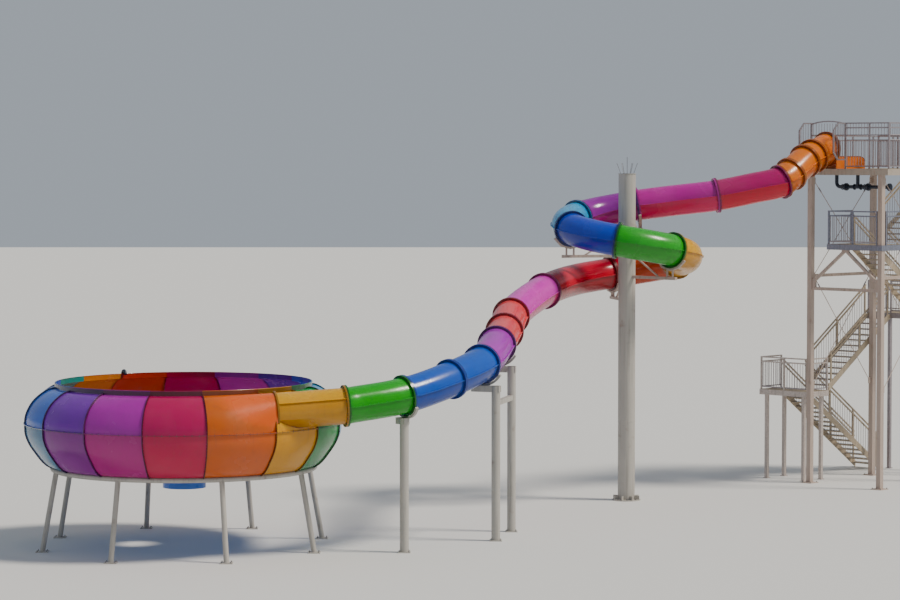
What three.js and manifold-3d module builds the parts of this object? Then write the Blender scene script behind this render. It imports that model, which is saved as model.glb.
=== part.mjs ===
// A water slide tower: stairs and a start deck, an enclosed flume that turns once round a column,
// and a round bowl on legs. Millimetres, +Z up. The origin is the column's foot on the ground,
// +X runs from the bowl towards the tower, and +Y runs away from the side with the bowl's entry.
import * as THREE from "three";
import { mergeVertices } from "three/addons/utils/BufferGeometryUtils.js";
import Module from "manifold-3d";

const wasm = await Module();
wasm.setup();

// Clearances
const GAP = 0.3;
const FACET_GAP = 0.36;
const LAP = 1;
const WELD = 0.001;
const UPRIGHT = 0.999;
const FAR = 20000;

// Flume tube: two bolted half shells a section, with a flange at each end
const TUBE_OUTER = 500;
const TUBE_BORE = 480;
const FLANGE_OUTER = 582;
const FLANGE_THICK = 50;
const TUBE_SIDES = 12;

// Centre line of the flume above the helix, joint by joint from the deck down
const START_DIRECTION = new THREE.Vector3(-1, -1, 0).normalize();
const START_JOINTS = [
  [6808, 4412, 11100],
  [6297, 3720, 10870],
  [6004, 3367, 10710],
  [5478, 2750, 10290],
  [5110, 2430, 10040],
];
const CRIMSON_MIDDLE = [4110, 2150, 9820];
const CRIMSON_END = [2980, 1950, 9600];
const MAGENTA_MIDDLE = [1620, 1960, 9440];

// Helix round the column
const HELIX_RADIUS = 1880;
const HELIX_PITCH = 2040;
const HELIX_LEVEL = 9215;
const HELIX_LEVEL_ANGLE = 90;
const HELIX_JOINTS = [76.5, 143.5, 199, 258, 315, 389.5, 447, 463];
const HELIX_STEPS = [4, 4, 4, 4, 4, 4, 1];

// Centre line below the helix
const RED_MIDDLE = [-1570, 800, 6945];
const LOWER_JOINTS = [
  [-2660, -1500, 6684],
  [-3740, -4700, 6080],
  [-3970, -6300, 5710],
  [-4220, -7900, 5420],
  [-4680, -9900, 5010],
  [-5548, -11350, 4684],
  [-6830, -12550, 4321],
  [-8414, -13420, 4105],
];
const ENTRY_DIRECTION = new THREE.Vector3(-0.97, -0.243, -0.056).normalize();
const ENTRY_LENGTH = 2700;

// Start trough on the deck
const TROUGH_LENGTH = 1540;
const TROUGH_TOP = -250;
const TROUGH_REAR_TOP = -400;
const TROUGH_CORNER = 330;
const TROUGH_CORNER_STEPS = 5;
const TROUGH_SKIRT = [413, 433];
const TROUGH_FEET = [250, 1290];
const TROUGH_FOOT_WIDTH = 620;
const TROUGH_FOOT_THICK = 40;

// Bowl: outer profile as [radius, height], lip to foot
const BOWL_X = -13000;
const BOWL_Y = -11000;
const BOWL_PROFILE = [
  [3570, 4590],
  [3575, 4455],
  [3740, 4420],
  [3960, 4290],
  [4170, 4100],
  [4310, 3880],
  [4385, 3670],
  [4400, 3485],
  [4460, 3485],
  [4460, 3455],
  [4400, 3455],
  [4385, 3220],
  [4300, 2980],
  [4150, 2740],
  [3820, 2350],
  [3400, 2180],
];
const BOWL_FLANGE_FIRST = 7;
const BOWL_RIB_LAST = 13;
const BOWL_WALL = 20;
const BOWL_RIB = 60;
const BOWL_RIB_HALF = 30;
const BOWL_SEAM_RADIUS = 4400;
const BOWL_FIRST_SEAM = 13;
const BOWL_SECTOR = 22.5;
const BOWL_DIVISIONS = 32;
const BOWL_WALLS = 8;
const BOWL_DISH = [
  [600, 1950],
  [2000, 2050],
];
const BOWL_OUTLET_BOTTOM = 1630;

// Bowl frame
const RING_BEAM_RADIUS = 3650;
const RING_BEAM_LEVEL = 2204.4;
const RING_BEAM_THICK = 70;
const RING_BEAM_SIDES = 8;
const LEG_RADIUS = 75;
const LEG_SIDES = 8;
const LEG_FOOT_RADIUS = 4050;
const LEG_FOOT_LEVEL = 15;
const LEG_FIRST_ANGLE = -69;
const LEG_STEP = 45;
const LEGS_PER_HALF = 4;
const HALF_RING_START = -88.25;
const FOOT_PLATE = 340;
const FOOT_PLATE_THICK = 25;

// Column and its arms
const COLUMN_RADIUS = 270;
const COLUMN_HEIGHT = 10320;
const COLUMN_SIDES = 16;
const COLUMN_BASE_RADIUS = 450;
const COLUMN_BASE_THICK = 30;
const COLUMN_CAP_RADIUS = 285;
const COLUMN_CAP_THICK = 15;
const SPIKES = 6;
const SPIKE_RADIUS = 9;
const SPIKE_FOOT = 200;
const SPIKE_HEAD = 330;
const SPIKE_RISE = 330;
const SPIKE_MIDDLE_RISE = 520;
const ARM_SIZE = 90;
const ARM_REACH = 2150;
const ARM_TIE_RISE = 860;
const ARM_TIE_REACH = 1450;
const ARM_TIE_SIZE = 45;
const ARM_POST_SIZE = 60;
const ARM_POST_SPREAD = 120;
const ARM_POST_BITE = 25;
const CRADLE_THICK = 68;
const CRADLE_HALF = 42;
const CRADLE_FIRST = 7;
const CRADLE_LAST = 11;
const ARMS = [
  { joint: 0, drop: 780 },
  { joint: 2, drop: 870 },
  { joint: 4, drop: 870 },
  { joint: 7, drop: 780 },
];

// Lower supports
const PYLON_POST = 125;
const PYLON_SIDES = 12;
const PYLON_OFFSET = 430;
const PYLON_HEAD_DROP = 705;
const PYLON_HEAD_WIDTH = 180;
const PYLON_HEAD_DEPTH = 180;
const PYLON_TIE_LEVEL = 3900;
const PYLON_TIE_SIZE = 140;
const PYLON_JOINTS = [3, 4];
const LONE_POST_JOINT = 6;

// Stair tower: local x runs right and near, local y right and away
const TOWER_X = 6400;
const TOWER_Y = 5000;
const TOWER_TURN = -45;
const POST_SIZE = 170;
const BAY_WIDTH = 2880;
const BAY_LENGTH = 3390;
const POST_PLATE = 420;
const RISER = 177;
const GOING = 260;
const SHORT_FLIGHT_RISERS = 14;
const LONG_FLIGHT_RISERS = 17;
const LOW_LEVEL = LONG_FLIGHT_RISERS * RISER;
const RIGHT_LEVEL = LOW_LEVEL + SHORT_FLIGHT_RISERS * RISER;
const MID_LEVEL = RIGHT_LEVEL + SHORT_FLIGHT_RISERS * RISER;
const DECK_LEVEL = MID_LEVEL + SHORT_FLIGHT_RISERS * RISER;
const NEAR_EDGE = 1200;
const FAR_EDGE = NEAR_EDGE + (SHORT_FLIGHT_RISERS - 1) * GOING;

// Stair flights: the lane of each, its levels and the way it climbs
const FLIGHTS = [
  { name: "stair_flight_1", lane: [-2200, -1200], foot: 0, risers: LONG_FLIGHT_RISERS, way: -1 },
  { name: "stair_flight_2", lane: [-1150, -150], foot: LOW_LEVEL, risers: SHORT_FLIGHT_RISERS, way: 1 },
  { name: "stair_flight_3", lane: [750, 1720], foot: RIGHT_LEVEL, risers: SHORT_FLIGHT_RISERS, way: -1 },
  { name: "stair_flight_4", lane: [1780, 2750], foot: MID_LEVEL, risers: SHORT_FLIGHT_RISERS, way: 1 },
];
const STRINGER_THICK = 20;
const STRINGER_ABOVE = 40;
const STRINGER_BELOW = 200;
const TREAD_THICK = 40;
const TREAD_DEPTH = 240;
const TREAD_BITE = 5;
const HANDRAIL_HEIGHT = 1000;
const HANDRAIL_PITCH = 1560;
const HANDRAIL_INSET = 20;
const HANDRAIL_POST = 42;

// Guards
const RAIL = 45;
const RAIL_POST = 50;
const RAIL_DROP = 150;
const GUARD_HEIGHT = 1110;
const TALL_GUARD_HEIGHT = 1520;
const POST_PITCH = 1150;
const GUARD_INSET = 45;

// Landings and deck
const SLAB_THICK = 40;
const FASCIA_DEPTH = 180;
const FASCIA_WIDTH = 60;
const LANDING_DEPTH = 1130;
const LANDING_LAP = 40;
const LOW_LANDING_NEAR = 50;
const MID_LANDING_LEFT = 740;
const POST_COVER = 20;
const LANDING_LEG = 110;
const DECK_POSTS = { u: [0, 1600], v: 5600, size: 150 };
const ROD_SLOT = { width: 60, from: 950 };
const LEG_INSET = 240;
const LEG_PLATE = 180;
const DECK_EDGE = 120;
const DECK_LENGTH = 5700;
const DECK_RIGHT = 3215;
const DECK_BEAM = 200;
const WELL = { u: [1740, 2775], v: [1450, FAR_EDGE] };
const TRIMMER = 80;
const PORTAL_RIGHT = 1410;
const FRONT_POST = 2380;
const ARCH_RISE = 90;
const ARCH_STEPS = 6;
const WING_REACH = 650;
const WING_CHAMFER = 240;
const WING_FOOT = 330;

// Bracing
const STRUT = 100;
const BRACE_ROD = 16;
const ROD_SIDES = 4;
const GUSSET_REACH = 130;
const GUSSET_HEIGHT = 200;
const GUSSET_THICK = 20;
const SIDE_STRUT_LEVEL = 6900;
const ROD_TOP = 10050;
const ROD_FOOT = 3250;
const FRONT_STRUT_LEVEL = 6480;
const V_FOOT_LEVEL = 6720;
const V_STRUT = 90;

// Water pipes below the deck
const PIPE_RADIUS = 62;
const PIPE_SIDES = 8;
const PIPE_LEVEL = 9850;
const PIPE_V = 600;
const PIPE_RUN = [593, 2810];
const PIPE_DROPS = [593, 1461];
const PIPE_DROP_RADIUS = 60;
const PIPE_VALVES = [987, 1890, 2760];
const VALVE_RADIUS = 125;
const VALVE_LENGTH = 70;

// Colours
const COLOUR = {
  orange: 0xd96a00,
  crimson: 0xa8004a,
  magenta: 0xb4009a,
  purple: 0x6a0088,
  lightBlue: 0x0a8cd0,
  blue: 0x0032b4,
  green: 0x009600,
  yellow: 0xd09a00,
  rust: 0xb03a00,
  red: 0xb0001e,
  pink: 0xc8288c,
  salmon: 0xf0555a,
  column: 0xb0aca4,
  steel: 0xa89c90,
  rail: 0x8f9096,
  tread: 0xb4a080,
  navy: 0x1e2c3c,
};
const BOWL_COLOURS = ["orange", "green", "purple", "magenta", "red", "green", "purple", "magenta"];

const UP = new THREE.Vector3(0, 0, 1);
const DEGREE = Math.PI / 180;
const vector = (x, y, z) => new THREE.Vector3(x, y, z);

// Turns a list of points and faces into one geometry, welded and facing out
function skin(points, faces) {
  const geometry = new THREE.BufferGeometry();
  const places = points.flatMap((p) => p.toArray());
  geometry.setAttribute("position", new THREE.Float32BufferAttribute(places, 3));
  geometry.setIndex(faces.flat());
  const welded = mergeVertices(geometry, WELD);
  const index = welded.index.array;
  const kept = [];
  let volume = 0;
  for (let i = 0; i < index.length; i += 3) {
    const face = [index[i], index[i + 1], index[i + 2]];
    if (new Set(face).size === 3) {
      kept.push(face);
      const [a, b, c] = face.map((k) => vector().fromBufferAttribute(welded.attributes.position, k));
      volume += a.dot(b.cross(c));
    }
  }
  welded.setIndex((volume < 0 ? kept.map((face) => face.reverse()) : kept).flat());
  return welded;
}

// A closed loop of rings, each with the same number of points: outside one way, bore back
function loopOfRings(rings) {
  const sides = rings[0].length;
  const faces = [];
  rings.forEach((_, r) => {
    const next = (r + 1) % rings.length;
    for (let i = 0; i < sides; i += 1) {
      const j = (i + 1) % sides;
      faces.push([r * sides + i, r * sides + j, next * sides + j]);
      faces.push([r * sides + i, next * sides + j, next * sides + i]);
    }
  });
  return skin(rings.flat(), faces);
}

// A solid swept through closed sections, with both ends capped
function sweptSolid(profiles, places) {
  const sides = profiles[0].length;
  const points = profiles.flatMap((profile, s) => profile.map(places[s]));
  const faces = [];
  for (let s = 0; s < profiles.length - 1; s += 1) {
    for (let i = 0; i < sides; i += 1) {
      const j = (i + 1) % sides;
      faces.push([s * sides + i, s * sides + j, (s + 1) * sides + j]);
      faces.push([s * sides + i, (s + 1) * sides + j, (s + 1) * sides + i]);
    }
  }
  const way = Math.sign(THREE.ShapeUtils.area(profiles[0]));
  const cap = (profile, first, turn) => {
    THREE.ShapeUtils.triangulateShape(profile, []).forEach((face) => {
      const sign = Math.sign(THREE.ShapeUtils.area(face.map((k) => profile[k])));
      const ordered = sign === way * turn ? face : [...face].reverse();
      faces.push(ordered.map((k) => k + first));
    });
  };
  cap(profiles[0], 0, -1);
  cap(profiles.at(-1), (profiles.length - 1) * sides, 1);
  return skin(points, faces);
}

function solidOf(geometry) {
  const bare = geometry.clone();
  bare.deleteAttribute("normal");
  bare.deleteAttribute("uv");
  const merged = mergeVertices(bare, WELD);
  return new wasm.Manifold(
    new wasm.Mesh({
      numProp: 3,
      vertProperties: new Float32Array(merged.attributes.position.array),
      triVerts: new Uint32Array(merged.index.array),
    }),
  );
}

function geometryOf(solid) {
  const mesh = solid.getMesh();
  const geometry = new THREE.BufferGeometry();
  geometry.setAttribute("position", new THREE.BufferAttribute(mesh.vertProperties, 3));
  geometry.setIndex(new THREE.BufferAttribute(mesh.triVerts, 1));
  return geometry;
}

const joined = (pieces) => pieces.map(solidOf).reduce((whole, piece) => whole.add(piece));
const largest = (solid) => solid.decompose().reduce((a, b) => (a.volume() > b.volume() ? a : b));

function block(u, v, z) {
  const geometry = new THREE.BoxGeometry(u[1] - u[0], v[1] - v[0], z[1] - z[0]);
  return geometry.translate((u[0] + u[1]) / 2, (v[0] + v[1]) / 2, (z[0] + z[1]) / 2);
}

const square = (centre, size) => [centre - size / 2, centre + size / 2];

// A bar of rectangular section between two points
function bar(from, to, width, depth) {
  const along = to.clone().sub(from);
  const length = along.length();
  along.normalize();
  const upright = Math.abs(along.z) > UPRIGHT;
  const across = upright ? vector(1, 0, 0) : UP.clone().cross(along).normalize();
  const placed = new THREE.Matrix4().makeBasis(along, across, along.clone().cross(across));
  placed.setPosition(from.clone().add(to).multiplyScalar(0.5));
  return new THREE.BoxGeometry(length, width, depth).applyMatrix4(placed);
}

// A round bar between two points
function rod(from, to, radius, sides) {
  const along = to.clone().sub(from);
  const turned = new THREE.Quaternion().setFromUnitVectors(vector(0, 1, 0), along.clone().normalize());
  const placed = new THREE.Matrix4().makeRotationFromQuaternion(turned);
  placed.setPosition(from.clone().add(to).multiplyScalar(0.5));
  return new THREE.CylinderGeometry(radius, radius, along.length(), sides).applyMatrix4(placed);
}

function drum(radius, bottom, top, sides) {
  return rod(vector(0, 0, bottom), vector(0, 0, top), radius, sides);
}

// The flume's centre line
const helixPoint = (angle) =>
  vector(
    HELIX_RADIUS * Math.cos(angle * DEGREE),
    HELIX_RADIUS * Math.sin(angle * DEGREE),
    HELIX_LEVEL - (HELIX_PITCH * (angle - HELIX_LEVEL_ANGLE)) / 360,
  );

function helixPoints() {
  const points = [];
  HELIX_STEPS.forEach((steps, i) => {
    const [from, to] = [HELIX_JOINTS[i], HELIX_JOINTS[i + 1]];
    for (let s = 0; s < steps; s += 1) points.push(helixPoint(from + ((to - from) * s) / steps));
  });
  points.push(helixPoint(HELIX_JOINTS.at(-1)));
  return points;
}

const upperPoints = [...START_JOINTS, CRIMSON_MIDDLE, CRIMSON_END, MAGENTA_MIDDLE].map((p) => vector(...p));
const roundPoints = helixPoints();
const lowerPoints = [RED_MIDDLE, ...LOWER_JOINTS].map((p) => vector(...p));
const controlPoints = [...upperPoints, ...roundPoints, ...lowerPoints];
const lastControl = controlPoints.length - 1;
const centreLine = new THREE.CatmullRomCurve3(controlPoints, false, "centripetal");

function frameOf(point, tangent) {
  const side = tangent.clone().cross(UP).normalize();
  return { point, tangent, side, rise: side.clone().cross(tangent).normalize() };
}

function frameAt(control) {
  if (control === 0) return frameOf(controlPoints[0], START_DIRECTION.clone().normalize());
  if (control === lastControl) return frameOf(controlPoints[lastControl], ENTRY_DIRECTION);
  return frameOf(centreLine.getPoint(control / lastControl), centreLine.getTangent(control / lastControl));
}

function ring(frame, radius, shift = 0) {
  return Array.from({ length: TUBE_SIDES }, (_, i) => {
    const angle = (i / TUBE_SIDES) * 2 * Math.PI;
    return frame.point
      .clone()
      .addScaledVector(frame.tangent, shift)
      .addScaledVector(frame.side, radius * Math.cos(angle))
      .addScaledVector(frame.rise, radius * Math.sin(angle));
  });
}

// One flume section: tube wall with a flange at both ends
function flumeSection(frames) {
  const first = frames[0];
  const last = frames.at(-1);
  const middle = frames.slice(1, -1);
  const edge = GAP / 2;
  const shoulder = edge + FLANGE_THICK;
  const outside = [
    ring(first, FLANGE_OUTER, edge),
    ring(first, FLANGE_OUTER, shoulder),
    ring(first, TUBE_OUTER, shoulder),
    ...middle.map((frame) => ring(frame, TUBE_OUTER)),
    ring(last, TUBE_OUTER, -shoulder),
    ring(last, FLANGE_OUTER, -shoulder),
    ring(last, FLANGE_OUTER, -edge),
  ];
  const bore = [
    ring(first, TUBE_BORE, edge),
    ...middle.map((frame) => ring(frame, TUBE_BORE)),
    ring(last, TUBE_BORE, -edge),
  ];
  return loopOfRings([...outside, ...bore.reverse()]);
}

const framesBetween = (from, to, steps) =>
  Array.from({ length: steps + 1 }, (_, i) => frameAt(from + ((to - from) * i) / steps));

function helixControl(joint) {
  return upperPoints.length + HELIX_STEPS.slice(0, joint).reduce((sum, steps) => sum + steps, 0);
}

const lowerControl = (joint) => upperPoints.length + roundPoints.length + 1 + joint;

const FLUME = [
  { name: "flume_orange_1", colour: "orange", from: 0, to: 1, steps: 1 },
  { name: "flume_orange_2", colour: "orange", from: 1, to: 2, steps: 1 },
  { name: "flume_orange_3", colour: "orange", from: 2, to: 3, steps: 1 },
  { name: "flume_orange_4", colour: "orange", from: 3, to: 4, steps: 1 },
  { name: "flume_crimson", colour: "crimson", from: 4, to: 6, steps: 2 },
  { name: "flume_magenta", colour: "magenta", from: 6, to: 8, steps: 2 },
  ...["purple", "light_blue", "blue", "green", "yellow", "rust"].map((colour, i) => ({
    name: "flume_helix_" + colour,
    colour: colour === "light_blue" ? "lightBlue" : colour,
    from: helixControl(i),
    to: helixControl(i + 1),
    steps: HELIX_STEPS[i],
  })),
  { name: "flume_helix_red", colour: "red", from: helixControl(6), to: helixControl(7), steps: 1 },
  { name: "flume_red", colour: "red", from: helixControl(7), to: lowerControl(0), steps: 4 },
  ...[
    ["pink", "pink"],
    ["salmon_1", "salmon"],
    ["salmon_2", "salmon"],
    ["violet", "purple"],
    ["blue_1", "blue"],
    ["blue_2", "blue"],
    ["green", "green"],
  ].map(([name, colour], i) => ({
    name: "flume_lower_" + name,
    colour,
    from: lowerControl(i),
    to: lowerControl(i + 1),
    steps: 2,
  })),
];

// Bowl geometry: angle 0 points to the near side and grows towards +X
const bowlPlace = (angle) => (p) =>
  vector(BOWL_X + p.x * Math.sin(angle * DEGREE), BOWL_Y - p.x * Math.cos(angle * DEGREE), p.y);

function outward(profile, i) {
  const before = profile[Math.max(i - 1, 0)];
  const after = profile[Math.min(i + 1, profile.length - 1)];
  return new THREE.Vector2(before.y - after.y, after.x - before.x).normalize();
}

const flangePoint = (i) => i >= BOWL_FLANGE_FIRST && i < BOWL_FLANGE_FIRST + 4;
const bowlOutside = BOWL_PROFILE.map(([r, z]) => new THREE.Vector2(r, z));
const bowlSmooth = bowlOutside.filter((_, i) => !flangePoint(i) || i === BOWL_FLANGE_FIRST);
const bowlInside = bowlSmooth
  .map((p, i) => p.clone().addScaledVector(outward(bowlSmooth, i), -BOWL_WALL))
  .reverse();

function ribbedOutside() {
  return bowlOutside.map((p, i) => {
    if (i === 0 || i > BOWL_RIB_LAST) return p;
    if (flangePoint(i)) return new THREE.Vector2(bowlOutside[BOWL_FLANGE_FIRST].x + BOWL_RIB, p.y);
    return p.clone().addScaledVector(outward(bowlOutside, i), BOWL_RIB);
  });
}

function bowlWall(index) {
  const start = BOWL_FIRST_SEAM + index * 2 * BOWL_SECTOR;
  const half = BOWL_RIB_HALF / BOWL_SEAM_RADIUS / DEGREE;
  const edge = GAP / 2 / BOWL_DISH[1][0] / DEGREE;
  const plain = [...bowlOutside, ...bowlInside];
  const ribbed = [...ribbedOutside(), ...bowlInside];
  const stations = [
    [ribbed, edge],
    [ribbed, half],
    [plain, half],
    [plain, BOWL_SECTOR / 2],
    [plain, BOWL_SECTOR - half],
    [ribbed, BOWL_SECTOR - half],
    [ribbed, BOWL_SECTOR + half],
    [plain, BOWL_SECTOR + half],
    [plain, BOWL_SECTOR * 1.5],
    [plain, 2 * BOWL_SECTOR - half],
    [ribbed, 2 * BOWL_SECTOR - half],
    [ribbed, 2 * BOWL_SECTOR - edge],
  ];
  return sweptSolid(
    stations.map(([profile]) => profile),
    stations.map(([, angle]) => bowlPlace(start + angle)),
  );
}

// A closed solid of revolution on the bowl's axis, with the wall's own divisions
function bowlTurned(profile) {
  const rings = profile.map((p) =>
    Array.from({ length: BOWL_DIVISIONS }, (_, i) =>
      bowlPlace(BOWL_FIRST_SEAM + (i * 360) / BOWL_DIVISIONS)(p),
    ),
  );
  return loopOfRings(rings);
}

function bowlFloor() {
  const [outletRadius, outletTop] = BOWL_DISH[0];
  const rim = bowlOutside.at(-1);
  const innerRim = bowlInside[0];
  const points = [
    [rim.x - GAP, rim.y],
    BOWL_DISH[1],
    [outletRadius, outletTop],
    [outletRadius, BOWL_OUTLET_BOTTOM],
    [outletRadius - BOWL_WALL, BOWL_OUTLET_BOTTOM],
    [outletRadius - BOWL_WALL, outletTop + BOWL_WALL],
    [BOWL_DISH[1][0], BOWL_DISH[1][1] + BOWL_WALL],
    [innerRim.x - GAP, innerRim.y],
  ];
  return bowlTurned(points.map(([r, z]) => new THREE.Vector2(r, z)));
}

// The room inside the bowl, open upwards, that the entry tube stops at
function bowlRoom() {
  const floor = bowlInside[0];
  const lip = bowlInside.at(-1);
  const top = lip.y + TUBE_OUTER;
  const profile = [
    new THREE.Vector2(0, floor.y),
    ...bowlInside,
    new THREE.Vector2(lip.x, top),
    new THREE.Vector2(0, top),
  ];
  return solidOf(bowlTurned(profile));
}

const entryFrame = frameAt(lastControl);

function entryTube() {
  const edge = GAP / 2;
  const shoulder = edge + FLANGE_THICK;
  const shell = loopOfRings([
    ring(entryFrame, FLANGE_OUTER, edge),
    ring(entryFrame, FLANGE_OUTER, shoulder),
    ring(entryFrame, TUBE_OUTER, shoulder),
    ring(entryFrame, TUBE_OUTER, ENTRY_LENGTH),
    ring(entryFrame, TUBE_BORE, ENTRY_LENGTH),
    ring(entryFrame, TUBE_BORE, edge),
  ]);
  return geometryOf(largest(solidOf(shell).subtract(bowlRoom())));
}

function entryCutter() {
  const start = ring(entryFrame, TUBE_OUTER + GAP * 2, -TUBE_OUTER);
  const end = ring(entryFrame, TUBE_OUTER + GAP * 2, ENTRY_LENGTH + GAP);
  const faces = [];
  for (let i = 0; i < TUBE_SIDES; i += 1) {
    const j = (i + 1) % TUBE_SIDES;
    faces.push([i, j, TUBE_SIDES + j], [i, TUBE_SIDES + j, TUBE_SIDES + i]);
    faces.push([j, i, 2 * TUBE_SIDES], [TUBE_SIDES + i, TUBE_SIDES + j, 2 * TUBE_SIDES + 1]);
  }
  const middles = [-TUBE_OUTER, ENTRY_LENGTH + GAP].map((shift) =>
    entryFrame.point.clone().addScaledVector(entryFrame.tangent, shift),
  );
  return solidOf(skin([...start, ...end, ...middles], faces));
}

// Half of the bowl's ring beam with its legs
function bowlFrameHalf(half) {
  const start = HALF_RING_START + half * 180;
  const steps = BOWL_DIVISIONS / 2;
  const edge = GAP / 2 / RING_BEAM_RADIUS / DEGREE;
  const section = Array.from({ length: RING_BEAM_SIDES }, (_, i) => {
    const angle = ((i + 0.5) / RING_BEAM_SIDES) * 2 * Math.PI;
    const x = RING_BEAM_RADIUS + RING_BEAM_THICK * Math.cos(angle);
    return new THREE.Vector2(x, RING_BEAM_LEVEL + RING_BEAM_THICK * Math.sin(angle));
  });
  const angles = Array.from({ length: steps + 1 }, (_, i) => start + (i * 180) / steps);
  angles[0] += edge;
  angles[steps] -= edge;
  const beam = sweptSolid(
    angles.map(() => section),
    angles.map(bowlPlace),
  );
  const pieces = [beam];
  for (let i = 0; i < LEGS_PER_HALF; i += 1) {
    const place = bowlPlace(LEG_FIRST_ANGLE + (half * LEGS_PER_HALF + i) * LEG_STEP);
    const foot = place({ x: LEG_FOOT_RADIUS, y: LEG_FOOT_LEVEL });
    const head = place({ x: RING_BEAM_RADIUS, y: RING_BEAM_LEVEL - LEG_RADIUS / 3 });
    pieces.push(rod(head, foot, LEG_RADIUS, LEG_SIDES));
    pieces.push(block(square(foot.x, FOOT_PLATE), square(foot.y, FOOT_PLATE), [0, FOOT_PLATE_THICK]));
  }
  return geometryOf(joined(pieces));
}

function column() {
  const top = COLUMN_HEIGHT;
  const pieces = [
    drum(COLUMN_RADIUS, COLUMN_BASE_THICK / 2, top, COLUMN_SIDES),
    drum(COLUMN_BASE_RADIUS, 0, COLUMN_BASE_THICK, COLUMN_SIDES),
    drum(COLUMN_CAP_RADIUS, top - COLUMN_CAP_THICK, top, COLUMN_SIDES),
    rod(vector(0, 0, top - COLUMN_CAP_THICK), vector(0, 0, top + SPIKE_MIDDLE_RISE), SPIKE_RADIUS, ROD_SIDES),
  ];
  for (let i = 0; i < SPIKES; i += 1) {
    const angle = (i / SPIKES) * 2 * Math.PI;
    const spoke = (radius, z) => vector(radius * Math.cos(angle), radius * Math.sin(angle), z);
    const foot = spoke(SPIKE_FOOT, top - COLUMN_CAP_THICK);
    pieces.push(rod(foot, spoke(SPIKE_HEAD, top + SPIKE_RISE), SPIKE_RADIUS, ROD_SIDES));
  }
  return geometryOf(joined(pieces));
}

// The saddle under a flange pair, parallel to the flange's own facets
function cradle(frame) {
  const inner = ring(frame, FLANGE_OUTER + FACET_GAP);
  const outer = ring(frame, FLANGE_OUTER + CRADLE_THICK);
  const arc = (points) => points.slice(CRADLE_FIRST, CRADLE_LAST + 1);
  const outline = [...arc(inner), ...arc(outer).reverse()];
  const flat = outline.map((p) => {
    const local = p.clone().sub(frame.point);
    return new THREE.Vector2(local.dot(frame.side), local.dot(frame.rise));
  });
  const place = (shift) => (p) =>
    frame.point
      .clone()
      .addScaledVector(frame.tangent, shift)
      .addScaledVector(frame.side, p.x)
      .addScaledVector(frame.rise, p.y);
  return sweptSolid([flat, flat], [place(-CRADLE_HALF), place(CRADLE_HALF)]);
}

// An arm under the cradle's lowest place, with two short posts up to it and a tie back to the column
function columnArm({ joint, drop }) {
  const frame = frameAt(helixControl(joint));
  const seat = frame.point.clone().addScaledVector(frame.rise, -FLANGE_OUTER - CRADLE_THICK / 2);
  const angle = Math.atan2(seat.y, seat.x);
  const level = frame.point.z - drop;
  const spoke = (radius, z) => vector(radius * Math.cos(angle), radius * Math.sin(angle), z);
  const pieces = [
    cradle(frame),
    bar(spoke(0, level), spoke(ARM_REACH, level), ARM_SIZE, ARM_SIZE),
    bar(spoke(0, level + ARM_TIE_RISE), spoke(ARM_TIE_REACH, level), ARM_TIE_SIZE, ARM_TIE_SIZE),
  ];
  [-1, 1].forEach((way) => {
    const radius = Math.hypot(seat.x, seat.y) + way * ARM_POST_SPREAD;
    const top = spoke(radius, seat.z + ARM_POST_BITE);
    pieces.push(bar(spoke(radius, level), top, ARM_POST_SIZE, ARM_POST_SIZE));
  });
  const columnRoom = drum(COLUMN_RADIUS + FACET_GAP, 0, COLUMN_HEIGHT, COLUMN_SIDES);
  return geometryOf(largest(joined(pieces).subtract(solidOf(columnRoom))));
}

// A round post with a head beam that carries a cradle beside it
function postUnder(frame, offset) {
  const level = frame.point.z - PYLON_HEAD_DROP;
  const flatSide = vector(frame.side.x, frame.side.y, 0).normalize();
  const under = vector(frame.point.x, frame.point.y, level);
  const foot = under.clone().addScaledVector(flatSide, -offset).setZ(FOOT_PLATE_THICK / 2);
  const head = foot.clone().setZ(level + PYLON_HEAD_DEPTH / 2);
  const reach = FLANGE_OUTER / 2;
  const pieces = [
    rod(foot, head, PYLON_POST, PYLON_SIDES),
    bar(
      under.clone().addScaledVector(flatSide, -offset - PYLON_POST),
      under.clone().addScaledVector(flatSide, reach),
      PYLON_HEAD_WIDTH,
      PYLON_HEAD_DEPTH,
    ),
    cradle(frame),
    block(square(foot.x, FOOT_PLATE), square(foot.y, FOOT_PLATE), [0, FOOT_PLATE_THICK]),
  ];
  return { foot, pieces };
}

function twinPylon() {
  const posts = PYLON_JOINTS.map((joint) => postUnder(frameAt(lowerControl(joint)), PYLON_OFFSET));
  const [from, to] = posts.map(({ foot }) => foot.clone().setZ(PYLON_TIE_LEVEL));
  const tie = bar(from, to, PYLON_TIE_SIZE, PYLON_TIE_SIZE);
  return geometryOf(joined([tie, ...posts.flatMap(({ pieces }) => pieces)]));
}

const lonePost = () => geometryOf(joined(postUnder(frameAt(lowerControl(LONE_POST_JOINT)), 0).pieces));

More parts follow.
